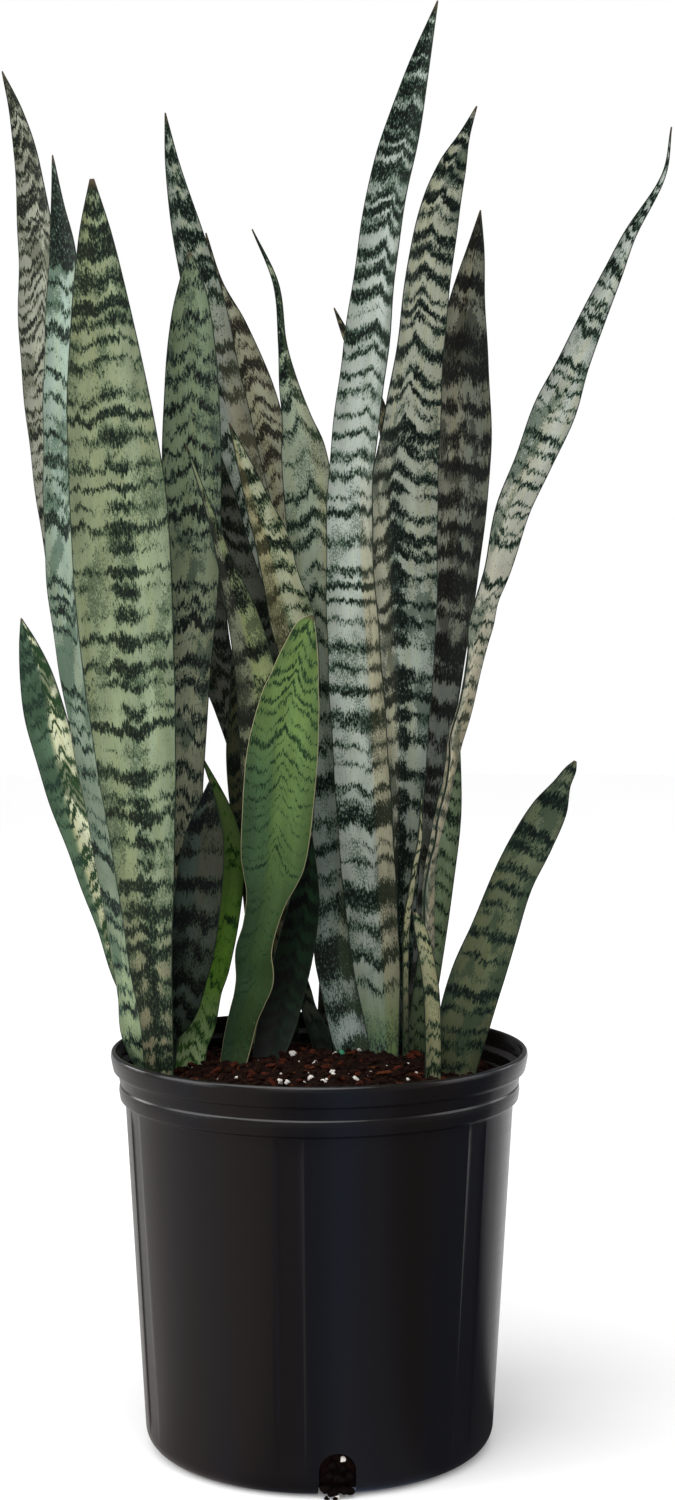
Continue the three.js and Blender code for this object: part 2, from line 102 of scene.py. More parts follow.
# Each leaf is its channel, then its stations going up from the soil: (x, y, height, width, facing).
# Facing is in degrees: 0 looks to the front, positive values turn towards +X.
# Channel is how far the midrib lies behind the margins, as a share of the width.
LEAVES = {
    "leaf_01": (0.2, [
        (-88, 61, 232, 18, -45), (-131, 62, 346, 27, -42), (-150.5, 72, 463, 32, -42),
        (-169.5, 79, 575, 35, -40), (-183, 82, 690, 33, -38), (-184, 83, 755, 31, -36),
        (-189, 84, 806, 21, -32), (-196, 84, 841, 11, -30), (-205, 84, 868, 1, -30),
    ]),
    "leaf_02": (0.18, [
        (-108, 2, 232, 24, -52), (-116.5, 3, 257, 27, -50), (-119.5, 4, 278, 27, -54),
        (-125, 8, 311, 27, -57), (-137, 20, 383, 30, -52), (-153, 31, 471, 31, -46),
        (-162, 37, 537, 32, -42), (-164, 40, 604, 32, -40), (-163, 42, 686, 31, -38),
        (-162, 42, 741, 24, -36), (-165, 42, 775, 11, -34), (-168, 42, 807, 1, -32),
    ]),
    "leaf_03": (0.12, [
        (-98.5, -25, 232, 19.5, -22), (-99.5, -26, 263, 22, -20), (-103, -27, 301, 28, -18),
        (-107, -28, 369, 40, -15), (-112, -28, 436, 52, -12), (-118, -26, 516, 60, -8),
        (-122, -24, 588, 60, -5), (-128, -20, 649, 51, -3), (-133, -16, 710, 34, 0),
        (-136, -13, 750, 20, 0), (-138, -11, 783, 3, 0),
    ]),
    "leaf_04": (0.24, [
        (-99, 40, 232, 16, -50), (-124, 45, 282, 21, -42), (-136, 50, 321, 26, -40),
        (-149.5, 53, 363, 30, -35), (-164, 54, 407, 32, -30), (-175.5, 53, 449, 32, -28),
        (-181.5, 52, 477, 26, -25), (-187, 51, 500, 13, -22), (-191, 50, 516, 1, -22),
    ]),
    "leaf_05": (0.22, [
        (-42, 98, 232, 23, 20), (-24, 96, 328, 26, 22), (-27, 94, 462, 30, 26),
        (-34, 91, 534, 33, 30), (-49, 87, 600, 33, 30), (-65, 83, 671, 31, 28),
        (-75, 79, 722, 28, 25), (-86, 75, 767, 20, 20), (-94.5, 73, 806, 10, 15),
        (-99, 71, 839, 1, 15),
    ]),
    "leaf_06": (0.2, [
        (-88, 45, 232, 20, -10), (-90, 43, 312, 23, -8), (-88, 38, 401, 27, -6),
        (-84, 38, 477, 29, -5), (-79, 40, 544, 31, -4), (-81, 42, 604, 38, -3),
        (-81, 42, 667, 34, -2), (-81, 42, 705, 26, 0), (-81, 42, 729, 15, 0), (-82, 42, 747, 1, 0),
    ]),
    "leaf_07": (0.2, [
        (8, 98, 232, 22, -10), (12, 104, 328, 26, -14), (-3, 108, 428, 31, -18),
        (-16, 110, 528, 34, -20), (-32.5, 111, 614, 34, -20), (-46, 110, 666, 32, -18),
        (-58, 108, 706, 21, -15), (-68, 106, 735, 9, -15), (-75, 104, 768, 1, -15),
    ]),
    "leaf_08": (0.22, [
        (22.5, 38, 232, 23, 0), (17.3, 44, 255, 24, 0), (11.8, 52, 282, 25, -1),
        (9.5, 57, 300, 27, -2), (10.5, 66, 332, 28, -5), (5, 70, 417, 29, -10),
        (-2, 72, 515, 31, -14), (-7, 72, 593, 34, -16), (-11, 70, 625, 30, -16),
        (-15, 68, 644, 20, -14), (-20, 66, 666, 13, -12), (-24, 64, 692, 6, -10),
        (-28, 60, 729, 4, -10), (-43, 56, 763, 1, -10),
    ]),
    "leaf_09": (0.2, [
        (50, 99, 232, 18, 0), (61, 104, 328, 20, -10), (62, 110, 435, 26, -20),
        (59, 112, 528, 29, -28), (54, 113, 581, 25, -30), (47, 112, 627, 15, -30),
        (40, 111, 653, 9, -30), (30, 110, 675, 10, -30), (17, 110, 702, 6, -30),
        (9, 110, 720, 1, -30),
    ]),
    "leaf_10": (0.28, [
        (41.5, 27, 232, 17, -10), (40, 34, 256, 22.5, -12), (37, 42, 286, 30.5, -16),
        (32, 46, 341, 37, -22), (27, 42, 413, 41, -30), (22, 38, 490, 42, -36),
        (19, 36, 553, 38, -38), (20, 34, 610, 36, -38), (29, 30, 685, 36, -38),
        (36, 26, 743, 31, -36), (43, 22, 786, 30, -34), (53, 20, 824, 24, -28),
        (61, 18, 855, 15, -24), (73, 15, 896, 1, -20),
    ]),
    "leaf_11": (0.2, [
        (-24, 75, 232, 21, 15), (-26, 73, 300, 22, 18), (-31, 70, 370, 24, 22),
        (-36, 67, 440, 29, 25), (-43, 65, 506, 31, 25), (-57, 64, 556, 29, 22),
        (-67, 63, 600, 22, 20), (-76, 62, 640, 10, 20), (-82, 62, 664, 1, 20),
    ]),
    "leaf_12": (0.26, [
        (46, 76, 232, 20, 14), (51, 75, 291, 20, 16), (54, 72, 364, 25, 20), (56, 70, 437, 32, 25),
        (55.6, 66.4, 515, 47, 30), (54.2, 62, 592, 52.5, 32), (59.4, 59.6, 643, 43.5, 32),
        (65, 56, 694, 35, 30), (70, 53, 739, 33, 28), (77, 50, 777, 27, 24), (84, 48, 801, 19, 20),
        (91, 46, 819, 8, 18), (99, 45, 838, 1, 18),
    ]),
    "leaf_13": (0.2, [
        (64, 86, 232, 17, 16), (64, 89, 290, 16, 16), (70, 93, 369, 19, 14), (73, 95, 422, 25, 14),
        (79, 95, 488, 34, 14), (87, 95, 554, 38, 14), (93, 94, 626, 40, 14),
        (92.5, 92, 684, 36, 12), (96, 90, 723, 24, 12), (101, 88, 755, 12, 12),
        (104, 87, 780, 1, 12),
    ]),
    "leaf_14": (0.22, [
        (72, -2, 232, 14, 60), (69.5, 8, 300, 14, 62), (69.2, 14, 341, 14, 62),
        (71.3, 16, 362, 13, 70), (74.1, 16, 376, 13, 75), (76.6, 15, 390, 14, 69),
        (81.2, 14, 409, 14, 71), (84.6, 12, 430, 16, 64), (85.9, 11, 441, 18, 58),
        (92, 8, 463, 17, 57), (97.8, 4, 495, 19, 50), (100, 1, 511, 21, 40), (104, -2, 528, 20, 42),
        (110, -4, 546, 21, 35), (119, -10, 583, 24, 25), (131, -16, 612, 24, 15),
        (143.5, -20, 643, 27, 10), (154, -24, 670, 20, 10), (166.5, -28, 700, 16, 10),
        (177, -32, 724, 12, 10), (186.5, -36, 746, 8, 10), (205, -44, 779, 3, 10),
        (209, -48, 807, 1, 10),
    ]),
    "leaf_15": (0.16, [
        (60, 46, 232, 16, 25), (70, 50, 289, 18, 22), (76, 54, 334, 19, 20), (81, 56, 373, 19, 18),
        (84, 57, 402, 16, 16), (90, 58, 436, 1, 15),
    ]),
    "leaf_16": (0.16, [
        (83.5, -12, 232, 28, 16), (90, -14, 267, 34, 14), (98, -16, 296, 35, 12),
        (108, -18, 324, 30, 10), (119, -22, 356, 27, 10), (131, -26, 381, 26, 8),
        (141, -30, 401, 22, 8), (148, -33, 416, 11, 8), (153, -35, 425, 7, 8),
        (155.5, -36, 430, 2, 8),
    ]),
    "leaf_17": (0.22, [
        (70, -28, 232, 11, 20), (70, -27, 258, 11, 20), (69, -25, 286, 11, 20),
        (66, -23, 308, 10, 20), (62, -22, 326, 8, 20), (59, -21, 336, 3, 20),
    ]),
    "leaf_18": (0.12, [
        (-55, 2, 232, 19, -34), (-51.5, 3, 250, 20.5, -28), (-47.4, 1, 268, 20.5, -25),
        (-43.7, -1, 279, 22, -23), (-40.3, -2, 292, 26, -22), (-41, -4, 308, 24.5, -18),
        (-37.5, -6, 323, 22, -16), (-33, -9, 342, 25.5, -12), (-30.5, -12, 355, 34, -8),
        (-28.7, -14, 366, 40, -6), (-26.3, -18, 389, 43, -4), (-22.4, -24, 433, 43.5, 0),
        (-17.5, -26, 467, 36, 2), (-15, -26.5, 479, 30, 2), (-12.5, -27, 491, 25, 3),
        (-10, -27, 503, 18, 3), (-7.5, -27, 512, 12, 4), (-3.5, -27, 518, 2, 4),
    ]),
    "leaf_19": (0.14, [
        (-35, 11, 232, 17, -14), (-28.8, 21, 253, 24, -12), (-23, 28, 275, 25.5, -10),
        (-15, 31, 308, 24, -8), (-9, 29, 340, 18, -6), (-5, 27, 379, 1, -4),
    ]),
    "leaf_20": (0.14, [
        (3.5, 45, 232, 12, -12), (-1.2, 45, 250, 13, -10), (-7.1, 45, 265, 10, -8),
        (-9, 45.5, 277, 7, -6), (-11, 46, 292, 1, -4),
    ]),
    "leaf_21": (0.14, [
        (-97, 8, 232, 12, 10), (-96.4, 8.5, 252, 14, 10), (-91.4, 4, 264, 21, 9),
        (-87, 0, 275, 24, 8), (-82, -5, 297, 27, 7), (-79, -8, 310, 28, 6), (-74, -10, 354, 29, 5),
        (-71, -11, 382, 24, 4), (-69, -12, 401, 12, 4), (-67, -12, 417, 1, 4),
    ]),
    "leaf_22": (0.14, [
        (-82, 14, 232, 20, 14), (-80.5, 19, 247, 20.5, 14), (-77, 25, 258, 22, 14),
        (-72.5, 33, 279, 21, 15), (-67.5, 37, 293, 20.5, 16), (-59, 45, 329, 17, 18),
        (-56, 46, 361, 16, 20), (-60, 46, 390, 10, 20), (-76, 44, 429, 1, 20),
    ]),
    "leaf_23": (0.14, [
        (-44, 65, 232, 16, 10), (-41, 62, 294, 13, 10), (-44, 59, 345, 14, 8),
        (-49, 57, 380, 15, 7), (-53, 56, 425, 15, 6), (-54, 55, 463, 9, 4), (-56, 54, 496, 1, 4),
    ]),
    "leaf_24": (0.22, [
        (-36, 55, 232, 19, -10), (-25, 54, 282, 22, -5), (-18, 50, 361, 24, 4),
        (-14, 44, 438, 26, 10), (-13, 41, 490, 26, 14), (-17.5, 41, 515, 30, 16),
        (-24, 38, 539, 25, 20), (-30.3, 37, 566, 23.5, 20), (-36.5, 36, 582, 19, 20),
        (-45.5, 35, 608, 11.5, 20), (-57, 33, 639, 1, 20),
    ]),
    "leaf_25": (0.2, [
        (-50, 45, 232, 17, -26), (-43, 44, 270, 17, -24), (-38, 42, 305, 18, -20),
        (-37, 37, 362, 23, -12), (-38, 30, 426, 25, -4), (-40, 25, 477, 26, 4),
        (-48, 21, 517, 20, 8), (-57, 19, 545, 12, 10), (-66, 16, 575, 6, 10), (-83, 14, 624, 1, 10),
    ]),
    "leaf_26": (0.14, [
        (-36, 86, 232, 18, 0), (-33, 84, 280, 18, 0), (-35, 82, 325, 19, -2),
        (-41, 80, 380, 21, -4), (-47, 79, 425, 23, -5), (-58, 78, 460, 24, -6),
        (-70, 77, 492, 26, -8), (-77, 75, 530, 29, -8), (-86, 74, 570, 18, -8),
        (-92, 73, 606, 1, -8),
    ]),
    "leaf_27": (0.1, [
        (55, 30, 232, 5, 20), (54.6, 30, 293, 4.5, 20), (55.4, 31, 324, 5, 22),
        (58.6, 31, 345, 4.5, 22), (61, 32, 361, 4, 22), (63.6, 33, 375, 3.5, 22),
        (65.1, 34, 409, 1, 22),
    ]),
}


def paint(code):
    """A colour written as six hexadecimal digits, as the linear light that shaders take."""
    parts = np.array([int(code[i:i + 2], 16) for i in (0, 2, 4)]) / 255
    light = np.where(parts <= 0.04045, parts / 12.92, ((parts + 0.055) / 1.055) ** 2.4)
    return (*light.tolist(), 1.0)


def look(base=None, **values):
    """A leaf's values on top of a base look, named as the banding's inputs are, with _ for a space and with
    colours as six digits."""
    own = {label.replace("_", " "): paint(value) if isinstance(value, str) else value
           for label, value in values.items()}
    return {**(base or {}), **own}


# How each leaf is coloured. Ground and high are the pale colour low down and near the tip, and dark is the
# bands'. Wing is the colour of the half on one side of the midrib, -1 for the left and 1 for the right:
# painted light where that half catches the light and painted shade where it lies in shade. Spacing is between
# bands and peak is how steeply they climb to the midrib. Low painted shade is how dark a leaf is painted at
# its foot.
SILVER = look(Ground="b8c1bb", High="a3b0a6", Dark="0b140f", Fleck="3d5544")
SAGE = look(Ground="93a083", High="8b987e", Dark="0d160f", Fleck="43563a")
SHADED = look(Ground="636e58", High="5d6854", Dark="0c130d", Fleck="2c3827", Thickness=0.42)
LOOKS = {
    "leaf_01": look(SAGE, Ground="87897a", High="8f9283", Thickness=0.32, Spacing=9, Patches=1.8, Peak=1.0,
        Fleck="4c4f3e", Pepper=1.3, Base="7c8f48", Base_Height=110, Warmth=0.2),
    "leaf_02": look(SILVER, Ground="6c7968", High="93a598", Tip_Cover=0.95, Tip_From=0.86, Tip_Full=0.9,
        Spacing=14, Thickness=0.2, Base="93a57c", Base_Height=150, Low_Tone=0.8, Peak=-0.8, Pepper=1.6),
    "leaf_03": look(SAGE, Ground="7d8b70", High="808a6e", Wing="879066", Wing_Share=0.3, Wing_Side=-1,
        Wing_Dark="2c3022", Spacing=14, Peak=0.15, Blotch=0.5, Blotch_Top=0.85, Thickness=0.12, Patches=1.3,
        Wobble=14, Tip_From=0.68, Tip_Cover=0.6, Warmth=0.4, Low_Tone=0.5, Fleck="3a4d36", Base="9a9274",
        Base_Height=150, Pepper=1.1, Low_Cover=0.5, Tip_Full=0.95, Low_Peak=-1.8),
    "leaf_04": look(SAGE, Ground="5a7358", High="4a6450", Wing="b9bd9e", Wing_Dark="1f3a1e", Wing_Share=1.0,
        Wing_Side=1, Wing_Lean=1.3, Spacing=10, Peak=0.9, Dark="20342a", Low_Tone=0.8, Thickness=0.3,
        Variety=1.6, Pepper=2.6, Halo=0.5, Patches=1.5, Fleck="3a523c"),
    "leaf_05": look(SILVER, Ground="98a196", High="98a095", Wing="8f8c79", Wing_Share=0.8, Wing_Top=0.85,
        Spacing=15, Patches=2.0, Thickness=0.3, Tip_Cover=0.5),
    "leaf_06": look(SAGE, Ground="7c7d68", High="6f7f64", Dark="0d110d", Spacing=14, Peak=0.45,
        Thickness=0.3, Patches=1.1, Wobble=16, Fringe=14, Pepper=1.8, Fleck="2f4036", Tip_Cover=-0.12,
        Low_Cover=0.5, Halo=0.15, Variety=1.1, Tip_From=0.55),
    "leaf_07": look(SHADED, Ground="949682", High="a6a890", Dark="26271f", Fleck="554e3e", Spacing=13,
        Pepper=0.9, Thickness=0.3),
    "leaf_08": look(SILVER, Ground="8b978e", High="a0ab93", Spacing=24, Peak=1.5, Thickness=0.24,
        Wing="a4a88e", Wing_Dark="33402c", Wing_Share=0.7, Wing_Side=1, Pepper=0.7, Tip_From=0.78,
        Tip_Cover=0.8, Low_Cover=0.45, Low_Tone=0.75, Wing_Top=1.3, Low_Peak=0.25, Gather=1.2,
        Base="a3b0ab", Base_Height=120, Tip_Full=0.9),
    "leaf_09": look(SAGE, Ground="83886f", High="8c866e", Dark="1f1f18", Fleck="484836", Pepper=1.0),
    "leaf_10": look(SILVER, Ground="aeb7ad", High="a0a8a1", Wing="b8b498", Wing_Dark="2d3325",
        Wing_Share=0.95, Wing_Side=1, Wing_Top=0.62, Tip_Cover=0.65, Tip_From=0.6, Tip_Full=1.0, Peak=1.15,
        Low_Peak=-0.4, Spacing=19, Thickness=0.22, Base="6f8c50", Base_Height=80, Low_Cover=0.05,
        Warmth=0.2, Gather=1.25, Wobble=12, Variety=1.0, Pepper=0.9),
    "leaf_11": look(SHADED, Ground="565a50", High="5f625a", Spacing=15),
    "leaf_12": look(SILVER, Ground="9aa59c", High="aaae9b", Wing="a39f86", Wing_Share=0.6, Wing_Side=-1,
        Wing_Dark="2f2f22", Spacing=23, Peak=1.2, Low_Peak=0.1, Patches=1.2, Blotch=0.6, Blotch_Top=0.75,
        Tip_Cover=0.25, Pepper=1.6, Thickness=0.26, Low_Tone=0.3, Low_Cover=0.5, Tip_From=0.45, Gather=1.4,
        Wobble=14, Halo=0.2, Fleck="33473b", Wing_Top=0.72),
    "leaf_13": look(SHADED, Ground="6f756e", High="7c7c6b", Dark="14130f", Spacing=20, Thickness=0.44,
        Patches=1.8, Peak=0.25, Wobble=12, Pepper=3.6, Fleck="2d2e25", Wing="58665f", Wing_Share=0.4,
        Wing_Dark="161d1e", Wing_Side=1, Tip_Cover=0.1, Halo=0.6, Fringe=14),
    "leaf_14": look(SILVER, Ground="b5ae97", High="a3aaa2", Wing="857e66", Wing_Share=0.6, Wing_Top=0.55,
        Spacing=10, Peak=-0.5, Patches=1.2, Thickness=0.2, Base="23241f", Base_Height=60, Pepper=1.3,
        Variety=1.1),
    "leaf_15": look(SAGE, Ground="68785a", High="66745a"),
    "leaf_16": look(SAGE, Ground="5d6549", High="59624c", Spacing=12, Peak=-0.1, Dark="0e1814",
        Fleck="2b3c2c", Pepper=2.0, Variety=2.2, Thickness=0.16, Wobble=10, Low_Tone=0.75, Patches=1.6),
    "leaf_17": look(SAGE, Ground="a3a37e", High="9c9c7c", Spacing=9, Thickness=0.15),
    "leaf_18": look(SAGE, Ground="3f5a30", High="5f7843", Dark="1a3018", Fleck="2f4c27", Wing="38553a",
        Wing_Side=-1, Wing_Share=0.75, Wing_Top=0.83, Wing_Dark="182c1c", Spacing=8, Peak=1.0,
        Thickness=0.02, Patches=0.8, Halo=0.2, Margin="8f8a6a", Margin_Width=0.5, Tip_Cover=0.3,
        Low_Cover=0.1, Low_Tone=0.35, Pepper=0.3, Scars=0.74, Variety=0.8, Wobble=14, Fringe=6,
        Tip_From=0.6),
    "leaf_19": look(SHADED, Ground="0f2412", High="16301a", Wing="1b3a22", Wing_Share=0.7, Wing_Side=1,
        Wing_Dark="0a180c", Fleck="0c120b", Dark="040604"),
    "leaf_20": look(SHADED, Ground="28342c", Fleck="18211a"),
    "leaf_21": look(SHADED, Ground="44514a", High="424238", Wing="36483f", Wing_Share=0.8, Wing_Side=-1,
        Wing_Dark="070b0c", Spacing=20, Peak=0.3, Low_Tone=0.7, Pepper=1.0, Dark="070c0d", Thickness=0.5),
    "leaf_22": look(SAGE, Ground="5a8526", High="4c6034", Tip_Cover=0.2, Thickness=0.0, Fleck="2f5a14",
        Dark="12280a", Base="869a6c", Low_Tone=0.9, Base_Height=70, Wing="8fa070", Wing_Share=0.7,
        Wing_Side=-1, Wing_Top=0.28, Wing_Dark="33521d", Patches=2.0),
    "leaf_23": look(SHADED, Ground="4c4a2e", High="45452e"),
    "leaf_24": look(SAGE, Ground="9ca68e", High="a3a78a", Wing="9a9470", Wing_Dark="423f2a",
        Wing_Share=0.75, Wing_Side=-1, Spacing=15, Patches=1.5, Pepper=1.1, Thickness=0.3, Peak=0.3),
    "leaf_25": look(SHADED, Ground="9aa96a", High="7f8a66", Wing="6e6f63", Wing_Dark="2a2b24",
        Wing_Share=0.7, Wing_Side=-1, Spacing=24, Pepper=1.4, Thickness=0.4, Tip_Cover=-0.2, Peak=0.2),
    "leaf_26": look(SHADED, Ground="53554f", High="5a5b54"),
    "leaf_27": look(SAGE, Ground="a3a27f", High="a29f84", Spacing=9, Base="3a3c30", Base_Height=90,
        Low_Tone=0.6, Thickness=0.2),
}
# The painted reflection that the floor glows with for glossy rays, as directions in degrees from the front,
# right positive, with their tones
REFLECTED = (
    (-180, "c0c0c0"), (180, "c0c0c0"), (-140, "cdcbc9"), (-105, "b4b0ae"), (-60, "968e8c"), (-38, "8a8082"),
    (-14, "4a4a54"), (-2, "484a54"), (12, "6e778f"), (30, "606878"), (48, "403c42"), (105, "302e30"),
    (122, "b8b8b8"), (140, "e6e6e6"),
)
SLOTS = {
    "leaf_silver": ("02", "05", "08", "10", "12", "14"),
    "leaf_sage": ("01", "03", "04", "06", "09", "15", "16", "17", "24", "27"),
    "leaf_bright": ("18", "22"),
    "leaf_dark": ("07", "11", "13", "19", "20", "21", "23", "25", "26"),
}


def wavering(points, length, seed, waves=12):
    """Smooth noise of about -1 to 1 at each point: the sum of sine waves along seeded directions, each of
    about the given length, over the square root of half their number."""
    dice = np.random.default_rng(seed)
    aims = dice.normal(size=(waves, 3))
    aims /= np.linalg.norm(aims, axis=1, keepdims=True)
    turns = 2 * np.pi / (length * dice.uniform(0.6, 1.5, waves))
    phases = dice.uniform(0, 2 * np.pi, waves)
    return np.sin(points @ (aims * turns[:, None]).T + phases).sum(-1) / np.sqrt(waves / 2)


def make_piece(name, points, faces, material, replaces=None, fields=None):
    """A mesh piece from points in millimetres and arrays of faces, riding on the plant's one body."""
    mesh = bpy.data.meshes.new(name)
    mesh.vertices.add(len(points))
    mesh.vertices.foreach_set("co", (points * MM).ravel())
    corners = np.concatenate([group.ravel() for group in faces])
    counts = np.concatenate([np.full(len(group), group.shape[1]) for group in faces])
    mesh.loops.add(len(corners))
    mesh.loops.foreach_set("vertex_index", corners)
    mesh.polygons.add(len(counts))
    mesh.polygons.foreach_set("loop_start", np.cumsum(counts) - counts)
    mesh.polygons.foreach_set("use_smooth", np.ones(len(counts), bool))
    mesh.update(calc_edges=True)
    for label, values in (fields or {}).items():
        field = mesh.attributes.new(label, "FLOAT", "POINT").data
        field.foreach_set("value", values.ravel().astype(np.float32))
    mesh.materials.append(material)
    piece = bpy.data.objects.new(name, mesh)
    bpy.context.scene.collection.objects.link(piece)
    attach(piece, "root")
    if replaces:
        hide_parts(replaces)
    return piece


def tube_faces(rings, around):
    """Faces of a closed tube: quads between each ring and the next, and a fan at each end to a pole. The two
    poles are the points after the rings."""
    ring = np.arange(around)
    following = (ring + 1) % around
    starts = np.arange(rings - 1)[:, None] * around
    corners = (ring, following, following + around, ring + around)
    walls = np.stack([starts + corner for corner in corners], -1)
    low = np.stack([following, ring, np.full(around, rings * around)], -1)
    last = (rings - 1) * around
    high = np.stack([last + ring, last + following, np.full(around, rings * around + 1)], -1)
    return [walls.reshape(-1, 4), low, high]


def with_poles(grid, low, high):
    """The rings' points as one list, followed by the two poles."""
    return np.concatenate([grid.reshape(-1, 3), [low], [high]])


# Leaves


def through(stations, column, height):
    """A column of the stations at each height: between two stations a cubic in height, whose slope at a
    station is that of the line from its lower neighbour to its upper one."""
    rows = np.array(stations, float)
    knots, values = rows[:, 2], rows[:, column]
    place = np.arange(len(knots))
    below, above = np.maximum(place - 1, 0), np.minimum(place + 1, len(knots) - 1)
    slopes = (values[above] - values[below]) / (knots[above] - knots[below])
    at = np.clip(height, knots[0], knots[-1])
    i = np.clip(np.searchsorted(knots, at) - 1, 0, len(knots) - 2)
    span = knots[i + 1] - knots[i]
    t = (at - knots[i]) / span
    bend = (1 - t) ** 2 * t * span * slopes[i] - t ** 2 * (1 - t) * span * slopes[i + 1]
    return values[i] + (values[i + 1] - values[i]) * t * t * (3 - 2 * t) + bend


def unit(vectors):
    return vectors / np.linalg.norm(vectors, axis=-1, keepdims=True)


def across_loop(flat=16, rounding=3):
    """The way round a blade's section: on the front from the left margin to the right, and back behind. The
    margins are half circles: near them the share goes with a sine and the thickness with its cosine. It gives
    the flat part's share, the rounding's sine, and 1 or -1 for front or back."""
    turn = np.radians(np.linspace(90, 0, rounding + 1)[:-1])
    share = np.concatenate([np.full(rounding, -1.0), np.linspace(-1, 1, flat + 1), np.full(rounding, 1.0)])
    sine = np.concatenate([np.sin(turn), np.zeros(flat + 1), np.sin(turn[::-1])])
    side = np.ones(len(share))
    back = slice(-2, 0, -1)
    return (np.concatenate([share, share[back]]), np.concatenate([sine, sine[back]]),
            np.concatenate([side, -side[back]]))


def blade(name, channel, stations, seed):
    """A channelled blade: each ring is a section square to the line of the stations. A point at a share of
    the half width lies channel times the width times (share to the channel's curve, less 1) in front of that
    line, and half the thickness in front of or behind that. The margins flutter a little with the height."""
    tip = stations[-1][2]
    rise = np.linspace(0, 1, RINGS)
    height = SOIL_LINE - BURIED + (tip - SOIL_LINE + BURIED) * (1 - (1 - rise) ** 1.2)
    column = [through(stations, i, height) for i in (0, 1, 3, 4)]
    centre = np.stack([column[0], column[1], height], -1)
    width = np.maximum(column[2], 1)
    high, low = np.minimum(height + 2, tip), height - 2
    tangent = unit(np.stack([through(stations, 0, high) - through(stations, 0, low),
                             through(stations, 1, high) - through(stations, 1, low), high - low], -1))
    turn = np.radians(column[3])
    front = np.stack([np.sin(turn), -np.cos(turn), 0 * turn], -1)
    front = unit(front - tangent * (front * tangent).sum(-1, keepdims=True))
    side = np.cross(tangent, front)
    climb = np.clip((height - SOIL_LINE) / (tip - SOIL_LINE), 0, 1)
    full = np.minimum(FOOT_THICKNESS + (TIP_THICKNESS - FOOT_THICKNESS) * climb, THICKEST_SHARE * width)
    margin = np.minimum(MARGIN_THICKNESS, full)

    flat, sine, face = across_loop()
    round_from = 1 - margin / width
    share = flat * round_from[:, None] + np.sign(flat) * sine * (1 - round_from)[:, None]
    cosine = np.sqrt(1 - sine ** 2)
    half = (margin[:, None] + (full - margin)[:, None] * (1 - share ** 2)) / 2 * cosine * face
    steps = np.linalg.norm(np.diff(centre, axis=0), axis=1)
    along = np.concatenate([[0], np.cumsum(steps)]) - BURIED
    wave = np.sin(2 * np.pi * along[:, None] / FLUTTER_LENGTH + seed + 2 * np.sign(share))
    flutter = FLUTTER * np.minimum(width / 30, 1)[:, None] * np.abs(share) ** 3 * wave * (along > 0)[:, None]
    reach = share * width[:, None] / 2
    lift = channel * width[:, None] * (np.abs(share) ** CHANNEL_CURVE - 1) + flutter
    grid = centre[:, None] + side[:, None] * reach[..., None] + front[:, None] * (lift + half)[..., None]

    ends = [grid[0].mean(0), grid[-1].mean(0)]
    fields = {
        "reach": reach, "along": along[:, None] + 0 * reach, "edge": (1 - np.abs(share)) * width[:, None] / 2,
        "climb": climb[:, None] + 0 * reach, "side": share, "front": 0.5 + 0.5 * face + 0 * reach,
    }
    fields = {label: np.concatenate([values.ravel(), values[0, :1], values[-1, :1]])
              for label, values in fields.items()}
    slot = next(key for key, numbers in SLOTS.items() if name[-2:] in numbers)
    faces = tube_faces(*grid.shape[:2])
    points, skin = with_poles(grid, *ends), leaf_finish(name, seed)
    make_piece(name + "_blade", points, faces, skin, name, fields)


# Finishes


class Flow:
    """What comes out of a shader node, to be reckoned with as if it were a number."""

    def __init__(self, socket):
        self.socket = socket
        self.tree = socket.id_data

    def math(self, operation, *others):
        return node(self.tree, "Math", dict(enumerate((self, *others))), operation=operation)

    def __add__(self, other):
        return self.math("ADD", other)

    def __sub__(self, other):
        return self.math("SUBTRACT", other)

    def __mul__(self, other):
        return self.math("MULTIPLY", other)

    def __truediv__(self, other):
        return self.math("DIVIDE", other)

    def __pow__(self, other):
        return self.math("POWER", other)

    def __abs__(self):
        return self.math("ABSOLUTE")

    def beside(self, label):
        """Another output of the same node."""
        return Flow(self.socket.node.outputs[label])


def feed(made, inputs):
    """Each named input of a node set to a value or joined to a flow."""
    for label, value in inputs.items():
        if isinstance(value, Flow):
            value.tree.links.new(value.socket, made.inputs[label])
        else:
            made.inputs[label].default_value = value


def node(tree, kind, inputs=None, **settings):
    """A new shader node with its settings and inputs, given back as the flow from its first output."""
    made = tree.nodes.new("ShaderNode" + kind)
    for label, value in settings.items():
        setattr(made, label, value)
    feed(made, inputs or {})
    return Flow(made.outputs[0])


def ramp(value, low, high, start=0.0, end=1.0, smooth=True):
    """The start below low, the end above high and a slope between, also where low is the larger one."""
    limits = {"From Min": low, "From Max": high, "To Min": start, "To Max": end}
    return node(value.tree, "MapRange", {"Value": value, **limits},
                interpolation_type="SMOOTHSTEP" if smooth else "LINEAR")


def mix(share, low, high):
    """Two colours mixed by a share."""
    return node(share.tree, "Mix", {0: share, 6: low, 7: high}, data_type="RGBA").beside(2)


def dimmed(colour, by):
    """A colour times another colour, or times a value."""
    mixed = node(colour.tree, "Mix", {0: 1.0, 6: colour, 7: by}, data_type="RGBA", blend_type="MULTIPLY")
    return mixed.beside(2)


